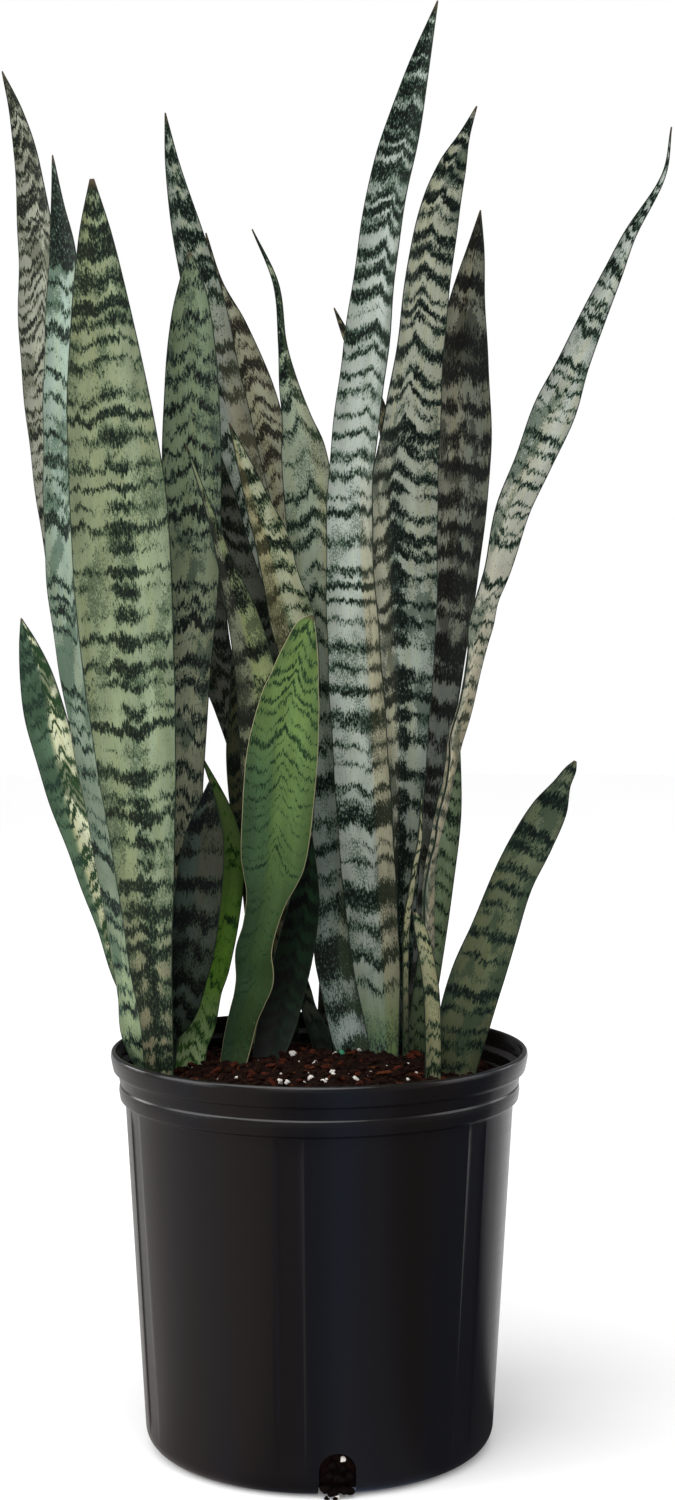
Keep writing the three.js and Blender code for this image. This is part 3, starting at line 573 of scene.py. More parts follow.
def effect(name, inputs, outputs):
    """An empty shader group: its tree, the flows of its named inputs and its output node. Each input comes
    with the value that it has if none is given."""
    group = bpy.data.node_groups.new(name, "ShaderNodeTree")
    for label, value in inputs.items():
        kind = "NodeSocketColor" if isinstance(value, tuple) else "NodeSocketFloat"
        group.interface.new_socket(label, in_out="INPUT", socket_type=kind).default_value = value
    for label, kind in outputs.items():
        group.interface.new_socket(label, in_out="OUTPUT", socket_type="NodeSocket" + kind)
    entry = group.nodes.new("NodeGroupInput").outputs
    return group, {label: Flow(entry[label]) for label in inputs}, group.nodes.new("NodeGroupOutput")


def make_banding():
    """Dark cross bands on a pale leaf. A point's band coordinate is its way along the blade plus peak times
    its reach from the midrib, less so towards the margins, pushed about by coarse, middling and hair-fine
    noise, in spacings. With gather above 1 the way is raised to that power, so the bands crowd towards the
    tip. A triangle wave of that coordinate is 0 in the middle of each band. Where it lies under the bands'
    thickness, which wanders, dark specks are strewn densely, and near that limit thinly."""
    inputs = look(
        SAGE, Reach=0.0, Along=0.0, Edge=1.0, Climb=0.0, Side=0.0, Front=1.0, Seed=0.0,
        Spacing=12.0, Peak=0.7, Low_Peak=1.0, Gather=1.0, Wobble=17.0, Fringe=9.0,
        Thickness=0.3, Patches=0.9, Variety=1.3, Blotch=0.0, Blotch_Top=1.3, Low_Cover=0.15,
        Tip_Cover=0.35, Tip_From=0.72, Tip_Full=1.0, Grit=2.6, Pepper=0.5, Halo=0.35, Scars=0.79,
        Wing="a39b84", Wing_Dark="4f4c3b", Wing_Side=1.0, Wing_Share=0.0, Wing_Top=1.3, Wing_Lean=0.0,
        Base=SAGE["Ground"], Base_Height=0.01, Margin="1c281d", Margin_Width=0.9,
        Low_Tone=0.5, Edge_Tone=0.72, Warmth=0.5,
    )
    outputs = {"Color": "Color", "Roughness": "Float", "Height": "Float"}
    group, given, result = effect("zeylanica banding", inputs, outputs)
    along, climb, wobble = given["Along"], given["Climb"], given["Wobble"]
    at = node(group, "CombineXYZ", {0: given["Reach"], 1: along})
    apart = given["Seed"] * 7.31
    start = node(group, "CombineXYZ", {2: apart})

    def grain(across, lengthwise, detail=2, roughness=0.5):
        """Noise from 0 to 1 on the leaf's own millimetres, with its own length across and along the blade."""
        scaled = node(group, "VectorMath", {0: at, 1: (1 / across, 1 / lengthwise, 1)}, operation="MULTIPLY")
        moved = node(group, "VectorMath", {0: scaled, 1: start}, operation="ADD")
        settings = {"Scale": 1, "Detail": detail, "Roughness": roughness}
        return node(group, "TexNoise", {"Vector": moved, **settings})

    def wander(value, detail):
        """Noise from 0 to 1 along one value."""
        return node(group, "TexNoise", {"W": value, "Scale": 1, "Detail": detail}, noise_dimensions="1D")

    # Where a point lies among the bands
    coarse, middling, fine = grain(11, 90, 1) - 0.5, grain(3.4, 22, 1) - 0.5, grain(0.9, 8, 1) - 0.5
    sideways = abs(given["Side"])
    steep = given["Peak"] * ramp(climb, 0.3, 0.75, given["Low Peak"], 1, smooth=False)
    climb_in = abs(given["Reach"]) * (sideways * -1.2 + 1.9) * steep
    way = (along.math("MAXIMUM", 0) * 0.01) ** given["Gather"] * 100 / given["Gather"]
    place = way + climb_in + coarse * wobble + middling * (wobble * 0.5) + fine * given["Fringe"]
    counted = place / given["Spacing"]
    counted = counted + wander(counted * 0.37 + apart, 1) * 1.3
    from_band = counted.math("PINGPONG", 0.5) * 2

    # How thick the bands are there, and the specks that make them
    thick = given["Thickness"] + (grain(9, 13) - 0.5) * given["Patches"]
    thick = thick + (wander(counted * 0.8 + apart, 0) - 0.5) * given["Variety"]
    thick = thick + ramp(climb, given["Tip From"], given["Tip Full"]) * given["Tip Cover"]
    thick = thick + ramp(climb, 0.35, 0) * given["Low Cover"]
    central = ramp(sideways, 0.4, 0.1) * ramp((given["Blotch Top"] - climb) * 4, 0, 1)
    density = thick + central * given["Blotch"] - from_band
    cover = ramp(density, -0.7, 0.5) + (grain(0.8, 2.4, 2, 0.75) - 0.5) * given["Grit"]
    mask, deep = ramp(cover, 0.3, 0.72), ramp(cover, 0.5, 1)
    peppered = ramp(grain(14, 34), 0.46, 0.66) * given["Pepper"]
    pepper = ramp(grain(0.6, 1.4, 1) + peppered * 0.3, 0.66, 0.8) * 0.7

    # The pale ground with its random tones and painted shade towards the foot and the margins, and one side's
    # wing with its painted light and shade
    pinstripe, cloud = grain(0.5, 60, 1), grain(9, 30)
    # Painted light and shade: the wing colours paint one half of the blade lighter where it catches the
    # light, and darker where it lies in shade.
    one_side = given["Side"] * given["Wing Side"] - (climb - 1) * given["Wing Lean"]
    side_light_and_shade = ramp(one_side, 0.02, 0.3) * given["Wing Share"] * ramp((given["Wing Top"] - climb) * 5, 0, 1)
    ground = mix(side_light_and_shade, mix(ramp(climb, 0.25, 0.85), given["Ground"], given["High"]), given["Wing"])
    dark = mix(side_light_and_shade, given["Dark"], given["Wing Dark"])
    fleck = mix(side_light_and_shade, given["Fleck"], given["Wing Dark"])
    streak = ramp(grain(5, 120), 0.42, 0.7) * given["Warmth"]
    ground = mix(streak, ground, dimmed(ground, paint("fff6d4")))
    tone = pinstripe * 0.3 + (cloud * 0.7 + 0.5)
    # Painted shade: the ground is darkened towards the leaf's foot, for the shade low in the clump.
    tone = tone * ramp(along, 0, 190, given["Low Tone"], 1, smooth=False)
    # Painted shade: the ground is darkened towards the margins, where the curved blade turns from the light.
    tone = tone * ramp(sideways, 0.35, 1, 1, given["Edge Tone"])
    low_down = ramp(along, given["Base Height"], 0)
    ground = mix(low_down, dimmed(ground, tone), dimmed(given["Base"], tone))

    # The bands over the ground, then the margin, the dry tip, the pale marks and the darker back
    colour = mix(ramp(density, -0.45, 0.15) * given["Halo"], ground, fleck)
    colour = mix(pepper, colour, fleck)
    colour = mix(mask, colour, mix(deep, fleck, dark))
    on_margin = ramp(given["Edge"], given["Margin Width"], given["Margin Width"] * 0.4)
    colour = mix(on_margin, colour, given["Margin"])
    colour = mix(ramp(climb, 0.985, 1), colour, paint("4b4030"))
    scar = ramp(grain(2.2, 4.5, 3, 0.7), given["Scars"], given["Scars"] + 0.04)
    colour = mix(scar, colour, paint("c9c7b8"))
    feed(result, {
        "Color": dimmed(colour, ramp(given["Front"], 0, 1, 0.8, 1, smooth=False)),
        "Roughness": cloud * 0.2 + 0.42 + scar * 0.2,
        "Height": pinstripe - mask * 0.12 + scar * 0.3,
    })
    return group


BANDING = make_banding()


def finish(name):
    """A new material with its tree and its Principled shader."""
    material = bpy.data.materials.new(name)
    material.use_nodes = True
    return material, material.node_tree, material.node_tree.nodes["Principled BSDF"]


def leaf_finish(name, seed):
    """The banding group with this leaf's own values, on the blade's own measures."""
    material, tree, shader = finish(name + "_skin")
    measures = {label: node(tree, "Attribute", attribute_name=label.lower()).beside("Fac")
                for label in ("Reach", "Along", "Edge", "Climb", "Side", "Front")}
    bands = node(tree, "Group", node_tree=BANDING)
    feed(bands.socket.node, {**measures, "Seed": seed, **LOOKS[name]})
    relief = {"Height": bands.beside("Height"), "Strength": 0.35, "Distance": 0.0004}
    feed(shader, {"Base Color": bands, "Roughness": bands.beside("Roughness"), "Specular IOR Level": 0.15,
                  "Normal": node(tree, "Bump", relief)})
    return material


def object_noise(tree, scale, detail=3, roughness=0.55, stretch=(1, 1, 1)):
    """Noise from 0 to 1 on the object's own coordinates, that many per metre along each axis."""
    place = node(tree, "TexCoord").beside("Object")
    placed = node(tree, "Mapping", {"Vector": place, "Scale": tuple(scale * s for s in stretch)})
    settings = {"Scale": 1, "Detail": detail, "Roughness": roughness}
    return node(tree, "TexNoise", {"Vector": placed, **settings})


def pot_finish():
    """Black moulded plastic: upright tones that wander from bluish to brownish, faint lines round the wall, a
    fine orange peel, and thin dust. The outside is glossier than the inside."""
    material, tree, shader = finish("pot_plastic")
    tones = object_noise(tree, 15, 2, 0.5, (1, 1, 0.03))
    uprights = object_noise(tree, 120, 2, 0.5, (1, 1, 0.01))
    rounds = object_noise(tree, 25, 3, 0.6, (0.2, 0.2, 16))
    peel = object_noise(tree, 1100, 2)
    dust = ramp(object_noise(tree, 60, 6, 0.8), 0.62, 0.8)
    colour = mix(ramp(tones, 0.4, 0.6), paint("100c0b"), paint("0a0c12"))
    relief = {"Height": rounds + peel * 0.25 + uprights * 0.5, "Strength": 0.3, "Distance": 0.0005}
    place = node(tree, "TexCoord").beside("Object")
    outward = node(tree, "VectorMath", {0: place, 1: (1, 1, 0)}, operation="MULTIPLY")
    normal = node(tree, "NewGeometry").beside("Normal")
    facing_out = node(tree, "VectorMath", {0: normal, 1: outward}, operation="DOT_PRODUCT").beside("Value")
    feed(shader, {
        "Base Color": mix(dust * 0.08, colour, paint("4b443d")),
        "Roughness": tones * 0.06 + 0.14 + rounds * 0.1 + dust * 0.15,
        "Specular IOR Level": ramp(facing_out, -0.04, 0, 0.25, 0.5),
        "Normal": node(tree, "Bump", relief),
    })
    return material


def crumbly(name, low, middle, high, scale):
    """A rough grainy finish that wanders between three colours."""
    material, tree, shader = finish(name)
    patches = object_noise(tree, scale, 4, 0.7)
    grains = object_noise(tree, scale * 9, 3, 0.7)
    colour = mix(ramp(patches, 0.35, 0.55), paint(low), paint(middle))
    feed(shader, {
        "Base Color": mix(ramp(grains, 0.52, 0.7), colour, paint(high)),
        "Roughness": 0.9,
        "Specular IOR Level": 0.08,
        "Normal": node(tree, "Bump", {"Height": grains, "Strength": 0.7, "Distance": 0.0008}),
    })
    return material


def granule_finish():
    """A waxy green pellet."""
    material, tree, shader = finish("feed_granule")
    green = mix(object_noise(tree, 700, 2), paint("0f5a3c"), paint("1e7d55"))
    feed(shader, {"Base Color": green, "Roughness": 0.35})
    return material


# Pot


def eased(profile, radius=0.5, steps=4):
    """A profile with its inner corners rounded: each becomes a quadratic curve from a point shortly before it
    to a point shortly after."""
    points = np.array(profile, float)
    before, corner, after = points[:-2], points[1:-1], points[2:]
    size_in = np.minimum(radius, 0.4 * np.linalg.norm(corner - before, axis=1))[:, None]
    size_out = np.minimum(radius, 0.4 * np.linalg.norm(after - corner, axis=1))[:, None]
    start, end = corner + unit(before - corner) * size_in, corner + unit(after - corner) * size_out
    t = np.linspace(0, 1, steps)[:, None, None]
    curve = (1 - t) ** 2 * start + 2 * t * (1 - t) * corner + t ** 2 * end
    return np.concatenate([points[:1], curve.transpose(1, 0, 2).reshape(-1, 2), points[-1:]])


def foot_corner(offset, steps=8):
    """The quarter circle between the pot's floor and wall, drawn inwards by an offset."""
    angle = np.radians(np.linspace(-90, 0, steps + 1))
    size = FOOT_CORNER - offset
    out = WALL_FOOT_RADIUS - FOOT_CORNER + size * np.cos(angle)
    return np.stack([out, FOOT_CORNER + size * np.sin(angle)], -1)


def rim_points(steps):
    """Rim points from their distance inside the widest ring and below the top."""
    return [(RIM_RADIUS - inset, POT_HEIGHT - depth) for inset, depth in steps]


def pot_profile():
    """The pot's section from the middle of its underside, up the outside, over the lip, down the inside."""
    band = [(5.8, RIM_BAND - 2), (5.1, 25), (5.4, 21.5), (6.1, 20.5), (5.4, 19.5), (4.7, 14)]
    lip = [(1.6, 12), (0.5, 7), (0, 3.5), (0.4, 1), (1.4, 0)]
    inside = [(2.8, 0), (3.4, 1), (4, 11), (6.8, 13.5), (7.1, 20.5), (8, 21.5), (8, 22.5), (7.3, 23.5),
              (7.6, RIM_BAND - 3)]
    outer = [(1, 0), *foot_corner(0), (WALL_TOP_RADIUS, POT_HEIGHT - RIM_BAND), *rim_points(band + lip)]
    wall_top = (WALL_TOP_RADIUS - WALL, POT_HEIGHT - RIM_BAND - 1)
    inner = [*rim_points(inside), wall_top, *foot_corner(FLOOR)[::-1], (1, FLOOR)]
    return refined(eased(outer + inner))


def refined(profile, step=9):
    """The same profile with points put in so that none lie farther apart than the step."""
    gaps = np.linalg.norm(np.diff(profile, axis=0), axis=1)
    counts = np.maximum(np.ceil(gaps / step).astype(int), 1)
    start = np.repeat(np.arange(len(counts)), counts)
    share = (np.arange(counts.sum()) - np.repeat(np.cumsum(counts) - counts, counts)) / counts[start]
    points = profile[start] + (profile[start + 1] - profile[start]) * share[:, None]
    return np.concatenate([points, profile[-1:]])


def round_angles(sides=180):
    """Angles round the pot in degrees from the front, with closer ones at the grooves' edges."""
    even = np.arange(sides) * 360 / sides
    middle = GROOVE_START + np.arange(GROOVE_COUNT) * 360 / GROOVE_COUNT
    edge = GROOVE_WIDTH / 2 + np.linspace(-0.5, 0.5, 7) * GROOVE_EDGE
    edge = np.degrees(np.concatenate([-edge, edge]) / GROOVE_RADIUS)
    angles = np.sort((np.concatenate([even, (middle[:, None] + edge).ravel()]) + 360) % 360)
    apart = np.diff(np.concatenate([angles, angles[:1] + 360]))
    return angles[apart > 0.08]


def wall_point(azimuth, out, height):
    """A point from its azimuth in degrees (0 is the front, 90 is +X), distance from the axis and height."""
    turn = np.radians(azimuth)
    return np.stack(np.broadcast_arrays(np.sin(turn) * out, -np.cos(turn) * out, height), -1)


def make_pot():
    """The pot turned about its axis. Six upright grooves sink into the outside of the wall, each with a flat
    floor and soft edges, and three arches are cut through its foot."""
    profile = pot_profile()
    angles = round_angles()
    radius, height = profile[:, :1], profile[:, 1:]
    middle = GROOVE_START + np.arange(GROOVE_COUNT) * 360 / GROOVE_COUNT
    apart = np.abs((angles[:, None] - middle + 180) % 360 - 180).min(1)
    arc = np.radians(apart) * radius
    inside_groove = np.clip((GROOVE_WIDTH / 2 + GROOVE_EDGE / 2 - arc) / GROOVE_EDGE, 0, 1)
    inside_groove = inside_groove ** 2 * (3 - 2 * inside_groove)
    depth = radius - (radius - GROOVE_DEPTH) / np.cos(np.radians(np.minimum(apart, 10)))
    low, high = FOOT_CORNER + 2, POT_HEIGHT - RIM_BAND - 3
    share = (height - FOOT_CORNER) / (POT_HEIGHT - RIM_BAND - FOOT_CORNER)
    wall = WALL_FOOT_RADIUS + (WALL_TOP_RADIUS - WALL_FOOT_RADIUS) * share
    on_wall = (np.abs(radius - wall) < 0.8) & (height > low) & (height < high)
    grid = wall_point(angles, radius - depth * inside_groove * on_wall, height)
    points = with_poles(grid, (0, 0, 0), (0, 0, FLOOR))
    faces = tube_faces(*grid.shape[:2])
    cut_notches(make_piece("nursery_pot", points, faces, pot_finish(), "pot"))


def cut_notches(pot):
    """Each notch is an arch drawn out from inside the wall to outside it: two upright sides under a half
    circle."""
    turn = np.radians(np.linspace(0, 180, 17))
    half = NOTCH_WIDTH / 2
    arch = np.stack([half * np.cos(turn), NOTCH_HEIGHT - half + half * np.sin(turn)], -1)
    arch = np.concatenate([[(half, -3)], arch, [(-half, -3)]])
    points, faces = [], []
    around = len(arch)
    ring = np.arange(around)
    following = (ring + 1) % around
    for i in range(NOTCH_COUNT):
        azimuth = np.radians(NOTCH_START + 360 * i / NOTCH_COUNT)
        along = np.array([np.cos(azimuth), np.sin(azimuth), 0])
        out = np.array([np.sin(azimuth), -np.cos(azimuth), 0])
        points += [arch[:, :1] * along + arch[:, 1:] * (0, 0, 1) + out * far for far in NOTCH_CUT]
        start = i * 2 * around
        walls = np.stack([ring, following, following + around, ring + around], -1) + start
        faces += [walls, ring[::-1][None] + start, (ring + around)[None] + start]
    cutter = make_piece("notch_cutter", np.concatenate(points), faces, pot.data.materials[0])
    cut = pot.modifiers.new("notches", "BOOLEAN")
    cut.operation, cut.object, cut.solver = "DIFFERENCE", cutter, "EXACT"
    bpy.context.view_layer.update()
    cut_mesh = bpy.data.meshes.new_from_object(pot.evaluated_get(bpy.context.evaluated_depsgraph_get()))
    pot.modifiers.clear()
    pot.data = cut_mesh
    bpy.data.objects.remove(cutter)
    cut_mesh.set_sharp_from_angle(angle=np.radians(38))


# Soil


def soil_height(x, y):
    """A low mound with gentle lumps, and crumbs of three sizes on it."""
    share = np.hypot(x, y) / SOIL_RADIUS
    mound = SOIL_CROWN + (SOIL_EDGE - SOIL_CROWN) * share ** 2
    lump_x = np.sin(x / SOIL_LUMP_LENGTH + 1) * np.cos(y / CROSS_LUMP_LENGTH)
    lump_y = np.sin((x + 2 * y) / SLANT_LUMP_LENGTH)
    lumps = SOIL_LUMP * (lump_x + SLANT_LUMP_SHARE * lump_y) * (1 - share ** 4)
    flat = np.stack([x, y, 0 * x], -1)
    crumbs = 0.8 * wavering(flat, 9, 11) + 0.6 * np.abs(wavering(flat, 4.5, 12))
    crumbs = crumbs + 0.35 * wavering(flat, 2.4, 13)
    return mound + lumps + crumbs * (1 - share ** 12) - CRUMBS_SUNK


def make_soil():
    """The soil turned about the axis, with the mound's height on its top rings and small hollows in its
    side."""
    inner = foot_corner(FLOOR + SOIL_GAP, 5)
    wall = [(WALL_TOP_RADIUS - WALL - SOIL_GAP, POT_HEIGHT - RIM_BAND - 1)]
    side = refined(np.array([(1, FLOOR + SOIL_GAP), *inner, *wall]), 5)
    top_radius = np.linspace(SOIL_RADIUS - 0.4, 1.2, SOIL_RINGS)
    angles = np.arange(SOIL_SIDES) * 360 / SOIL_SIDES
    low = wall_point(angles, side[:, :1], side[:, 1:])
    dent = 0.9 * np.abs(wavering(low, 7, 14)) + 0.5 * np.abs(wavering(low, 3, 15))
    low[..., :2] *= 1 - (dent / np.maximum(side[:, :1], 20))[..., None] * (side[:, :1, None] > 60)
    high = wall_point(angles, top_radius[:, None], 0.0)
    high[..., 2] = soil_height(high[..., 0], high[..., 1])
    grid = np.concatenate([low, high])
    points = with_poles(grid, (0, 0, FLOOR + SOIL_GAP), grid[-1].mean(0))
    mix_finish = crumbly("potting_soil", "060202", "160a06", "2e1911", 170)
    make_piece("potting_soil_top", points, tube_faces(*grid.shape[:2]), mix_finish, "soil")


def icosahedron():
    """Twelve points and twenty faces of a regular solid, at radius 1."""
    gold = (1 + 5 ** 0.5) / 2
    rows = [(-1, gold, 0), (1, gold, 0), (-1, -gold, 0), (1, -gold, 0), (0, -1, gold), (0, 1, gold),
            (0, -1, -gold), (0, 1, -gold), (gold, 0, -1), (gold, 0, 1), (-gold, 0, -1), (-gold, 0, 1)]
    faces = [(0, 11, 5), (0, 5, 1), (0, 1, 7), (0, 7, 10), (0, 10, 11), (1, 5, 9), (5, 11, 4), (11, 10, 2),
             (10, 7, 6), (7, 1, 8), (3, 9, 4), (3, 4, 2), (3, 2, 6), (3, 6, 8), (3, 8, 9), (4, 9, 5),
             (2, 4, 11), (6, 2, 10), (8, 6, 7), (9, 8, 1)]
    return unit(np.array(rows, float)), np.array(faces)


def on_soil(spots, sunk=0.2):
    """Spots of (x, y, size) with the soil's height put in, less a share of the size that sinks."""
    x, y, size = np.array(spots, float).T
    return np.stack([x, y, soil_height(x, y) + size * (0.4 - sunk), size], -1)


def scatter(name, material, count, sizes, proportions, seed, sunk=0.3):
    """Chips strewn over the soil: each is a twenty-sided solid with its corners pushed in and out at random,
    scaled to its length, width and thickness, turned at random and sunk a little into the mound."""
    dice = np.random.default_rng(seed)
    out = (SOIL_RADIUS - 3) * np.sqrt(dice.uniform(0, 1, count))
    turn = dice.uniform(0, 2 * np.pi, count)
    x, y = out * np.cos(turn), out * np.sin(turn)
    clear = clear_of_leaves(x, y)
    x, y = x[clear], y[clear]
    count = len(x)
    size = dice.uniform(*sizes, count)
    corners, faces = icosahedron()
    uneven = dice.uniform(0.7, 1.15, (count, 12, 1))
    shape = corners * uneven * np.array(proportions) * size[:, None, None] / 2
    spin = dice.uniform(0, 2 * np.pi, count)
    tilt = dice.normal(0, 0.35, count)
    rows = np.stack([np.stack([np.cos(spin) * np.cos(tilt), -np.sin(spin), np.cos(spin) * np.sin(tilt)], -1),
                     np.stack([np.sin(spin) * np.cos(tilt), np.cos(spin), np.sin(spin) * np.sin(tilt)], -1),
                     np.stack([-np.sin(tilt), 0 * spin, np.cos(tilt)], -1)], 1)
    shape = np.einsum("nij,nkj->nki", rows, shape)
    thick = size * proportions[2]
    place = np.stack([x, y, soil_height(x, y) + thick * (0.5 - sunk)], -1)
    points = (shape + place[:, None]).reshape(-1, 3)
    all_faces = (faces + 12 * np.arange(count)[:, None, None]).reshape(-1, 3)
    make_piece(name, points, [all_faces], material).data.shade_flat()


def strew(name, material, spots, proportions, seed):
    """Single chips at chosen spots, each a solid of three hundred and twenty sides: the twenty-sided one cut
    finer twice, set on a ball and pushed in and out by smooth noise."""
    dice = np.random.default_rng(seed)
    corners, faces = icosahedron()
    for _ in range(2):
        corners, faces = cut_finer(corners, faces)
    spots = np.array(spots, float)
    count = len(spots)
    apart = corners[None] + 9 * np.arange(count)[:, None, None]
    shape = corners * (1 + 0.16 * wavering(apart, 1.6, seed))[..., None] * proportions
    spin = dice.uniform(0, np.pi, count)
    turned = np.stack([shape[..., 0] * np.cos(spin)[:, None] - shape[..., 1] * np.sin(spin)[:, None],
                       shape[..., 0] * np.sin(spin)[:, None] + shape[..., 1] * np.cos(spin)[:, None],
                       shape[..., 2]], -1)
    points = turned * spots[:, None, 3:] / 2 + spots[:, None, :3]
    all_faces = (faces + len(corners) * np.arange(count)[:, None, None]).reshape(-1, 3)
    make_piece(name, points.reshape(-1, 3), [all_faces], material)


def cut_finer(corners, faces):
    """Each triangle cut into four at the middles of its sides, which move out to radius 1. Middles that two
    triangles share are one point."""
    sides = np.sort(np.concatenate([faces[:, [0, 1]], faces[:, [1, 2]], faces[:, [2, 0]]]), axis=1)
    shared, which = np.unique(sides, axis=0, return_inverse=True)
    middles = unit(corners[shared].mean(1))
    first, second, third = which.reshape(3, -1) + len(corners)
    a, b, c = faces.T
    made = [(a, first, third), (b, second, first), (c, third, second), (first, second, third)]
    return np.concatenate([corners, middles]), np.concatenate([np.stack(row, -1) for row in made])


def clear_of_leaves(x, y, room=4):
    """True where a place on the soil is farther than the room from each leaf's foot, taken as a row of points
    across its width."""
    feet = []
    for channel, stations in LEAVES.values():
        at_x, at_y, _, width, facing = stations[0]
        share = np.linspace(-0.5, 0.5, 9) * width
        feet.append(np.stack([at_x + share * np.cos(np.radians(facing)),
                              at_y + share * np.sin(np.radians(facing))], -1))
    feet = np.concatenate(feet)
    apart = np.hypot(x[:, None] - feet[:, 0], y[:, None] - feet[:, 1])
    return apart.min(1) > room


# Stage


def reflected_floor(tree):
    """A painted reflection: the colour that the floor glows with for glossy rays, by the direction from the
    plant, so that the pot's gloss shows it pale at the left and behind, dark in front and at the right, with
    a bluish patch near the front."""
    place = node(tree, "SeparateXYZ", {0: node(tree, "TexCoord").beside("Object")})
    turn = place.math("ARCTAN2", place.beside("Y") * -1)
    shades = node(tree, "ValToRGB", {0: turn * (0.5 / np.pi) + 0.5})
    shades.socket.node.color_ramp.interpolation = "EASE"
    bands = shades.socket.node.color_ramp.elements
    elements = [bands[0], bands[1], *(bands.new(0.5) for _ in REFLECTED[2:])]
    for element, (azimuth, tone) in zip(elements, REFLECTED):
        element.position, element.color = azimuth / 360 + 0.5, paint(tone)
    return shades


def add_object(name, data):
    """A new object in the scene."""
    made = bpy.data.objects.new(name, data)
    bpy.context.scene.collection.objects.link(made)
    return made


def make_world():
    """White to the camera and dim to everything else, dimmest in reflections."""
    world = bpy.data.worlds.new("studio")
    bpy.context.scene.world = world
    world.use_nodes = True
    tree = world.node_tree
    white = (1, 1, 1, 1)
    rays = node(tree, "LightPath")
    light = tree.nodes["Background"]
    strength = ramp(rays.beside("Is Glossy Ray"), 0, 1, 0.3, 0.2, smooth=False)
    feed(light, {"Color": white, "Strength": strength})
    seen = node(tree, "Background", {"Color": white, "Strength": 1})
    blend = node(tree, "MixShader", {0: rays.beside("Is Camera Ray"), 1: Flow(light.outputs[0]), 2: seen})
    feed(tree.nodes["World Output"], {0: blend})


def make_floor():
    """A pale disc with an even faint glow. To glossy rays it is black and glows with the painted reflection.
    """
    turn = np.radians(np.arange(96) * 360 / 96)
    disc = np.stack([STAGE_RADIUS * np.cos(turn), STAGE_RADIUS * np.sin(turn), 0 * turn], -1)
    mesh = bpy.data.meshes.new("floor")
    mesh.from_pydata((disc * MM).tolist(), [], [list(range(96))])
    material, tree, shader = finish("pale_floor")
    pale = mix(object_noise(tree, 3, 2), paint("f7f7f7"), paint("fbfbfb"))
    reflected = node(tree, "LightPath").beside("Is Glossy Ray")
    feed(shader, {
        "Base Color": mix(reflected, pale, paint("000000")),
        "Roughness": 0.7,
        "Specular IOR Level": 0.2,
        "Emission Color": mix(reflected, (0.12, 0.12, 0.12, 1), reflected_floor(tree)),
        "Emission Strength": 1,
    })
    mesh.materials.append(material)
    add_object("floor", mesh)


def make_lights():
    """Square panels at both sides that look at the plant's middle, and a soft sun overhead."""
    for name, place, size, power in PANELS:
        light = bpy.data.lights.new(name, "AREA")
        light.shape, light.size, light.energy = "SQUARE", size, power
        lamp = add_object(name, light)
        lamp.location = place
        x, y, z = np.array([0, 0, 0.45]) - place
        lamp.rotation_euler = (np.arctan2(np.hypot(x, y), -z), 0, np.arctan2(-x, y))
    sun = bpy.data.lights.new("overhead", "SUN")
    sun.energy, sun.angle = SUN_POWER, np.radians(70)
    add_object("overhead", sun).rotation_euler = (np.radians(38), 0, np.radians(-22))


def make_camera():
    """The camera that was fitted to the rim and the foot of the pot."""
    camera = add_object("camera", bpy.data.cameras.new("camera"))
    camera.data.lens, camera.data.sensor_width = CAMERA_LENS, 36
    camera.location = CAMERA_PLACE
    camera.rotation_euler = (np.radians(90 - CAMERA_DROP), 0, 0)
    bpy.context.scene.camera = camera


make_pot()
make_soil()
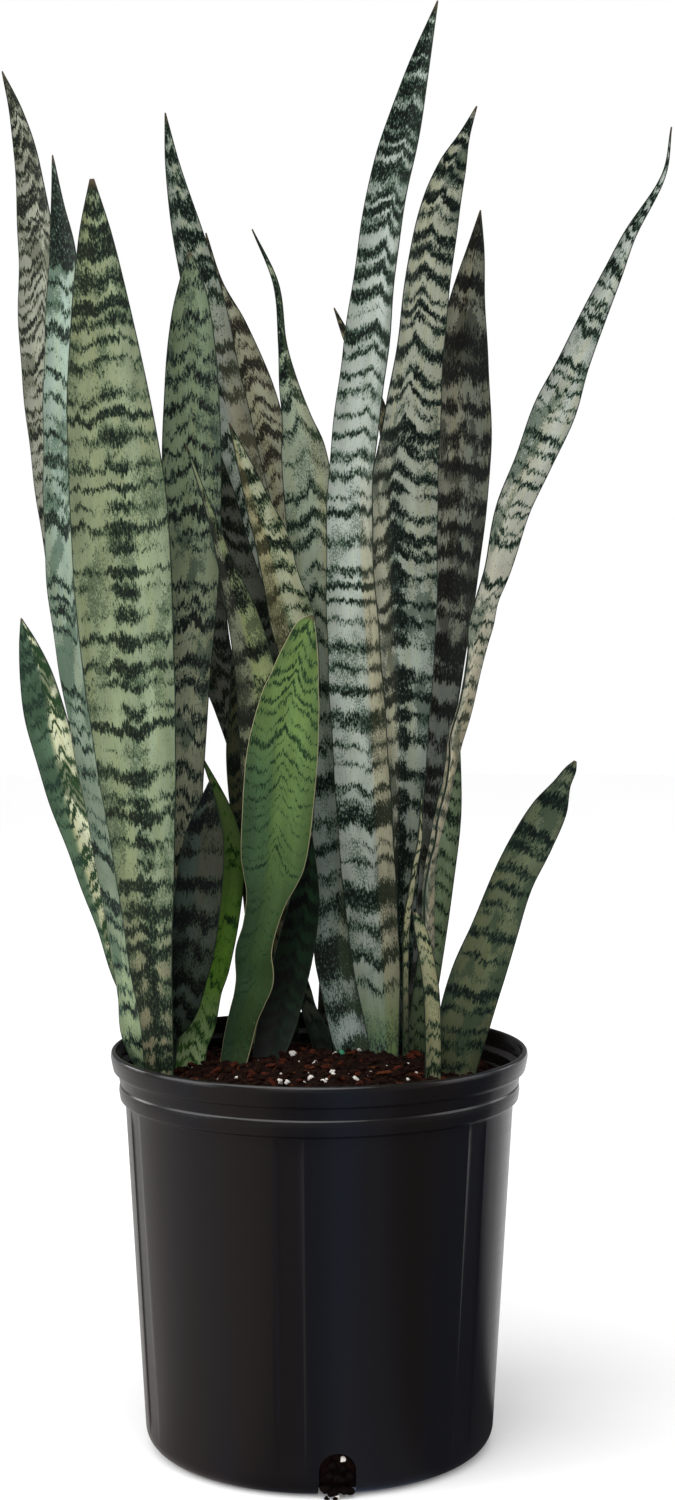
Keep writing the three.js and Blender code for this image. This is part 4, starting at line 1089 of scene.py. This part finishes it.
# Chips that the front shows one by one, as (x, y, size), then those at the front notch as (x, y, z, size)
POPCORN = on_soil([
    (-68, -40, 3.4), (-38, 2, 3.6), (-28, -52, 3.2), (-23, -55, 4.6), (-19, -56, 4), (-17, 15, 5.4),
    (-5, -52, 4.2), (-9, -57, 2.6), (-3, -11, 4), (3, -58, 3.6), (5, -54, 2.6), (9, -40, 5), (8, -36, 3.4),
    (10, 12, 3.8), (22, -54, 5), (26, -56, 3), (32, -37, 5.2), (25, 39, 3.4), (50, 36, 3.2), (33, 19, 2.6),
    (54, -42, 2.4), (-50, -45, 2.2), (40, -70, 3), (-12, -80, 3.6),
])
BARK_STRIPS = on_soil([
    (39, -37, 13), (33, -20, 8), (19, 14, 9), (-4, -30, 7), (60, -30, 8), (-20, -20, 6), (45, 5, 7),
])
NOTCH_PERLITE = [(14.5, -107.6, 24, 3.4), (11.5, -108.5, 1.8, 3)]
NOTCH_CRUMBS = [
    (4, -107, 6, 7), (9, -107, 4, 7), (15, -106, 5, 8), (19, -105, 4, 6), (6, -107, 14, 6), (12, -107, 12, 8),
    (18, -105, 13, 7), (9, -107, 20, 6), (15, -107, 18, 5), (5, -110, 1.6, 3), (10, -111, 1.6, 3.2),
]
FEED_GRANULE = on_soil([(13.5, 6, 4.2)])

# The soil at the notch: the mix's own dark brown, darkened further as painted shade inside the notch.
notch_shade_soil = crumbly("notch_soil_painted_shade", "030101", "0b0504", "1d100a", 300)
red_bark = crumbly("red_bark", "120503", "3a160b", "74402a", 240)
bark = crumbly("bark_chips", "070302", "1b0c07", "462a1d", 260)
fibre = crumbly("bark_fibre", "2a120a", "522814", "8a5230", 300)
perlite = crumbly("perlite_grains", "c9c1b8", "e2ddd4", "f4f2ee", 500)
scatter("bark_crumbs", bark, 2600, (2, 7), (1, 0.75, 0.6), 21)
scatter("bark_fibres", fibre, 170, (4, 10), (1, 0.16, 0.12), 22, 0.1)
scatter("bark_chunks", red_bark, 170, (6, 12), (1, 0.5, 0.4), 29)
scatter("perlite_crumbs", perlite, 80, (1.2, 2.8), (1, 0.85, 0.8), 23, 0.15)
strew("perlite_popcorn", perlite, POPCORN, (1, 0.85, 0.75), 24)
strew("bark_strips", fibre, BARK_STRIPS, (1, 0.28, 0.16), 25)
strew("notch_perlite", perlite, NOTCH_PERLITE, (1, 0.9, 0.9), 26)
strew("notch_crumbs", notch_shade_soil, NOTCH_CRUMBS, (1, 0.8, 0.7), 27)
strew("feed_granule", granule_finish(), FEED_GRANULE, (1, 1, 1), 28)
for number, (leaf, (leaf_channel, leaf_stations)) in enumerate(LEAVES.items()):
    blade(leaf, leaf_channel, leaf_stations, number)
bpy.context.scene.view_settings.view_transform = "Standard"
make_world()
make_floor()
make_lights()
make_camera()
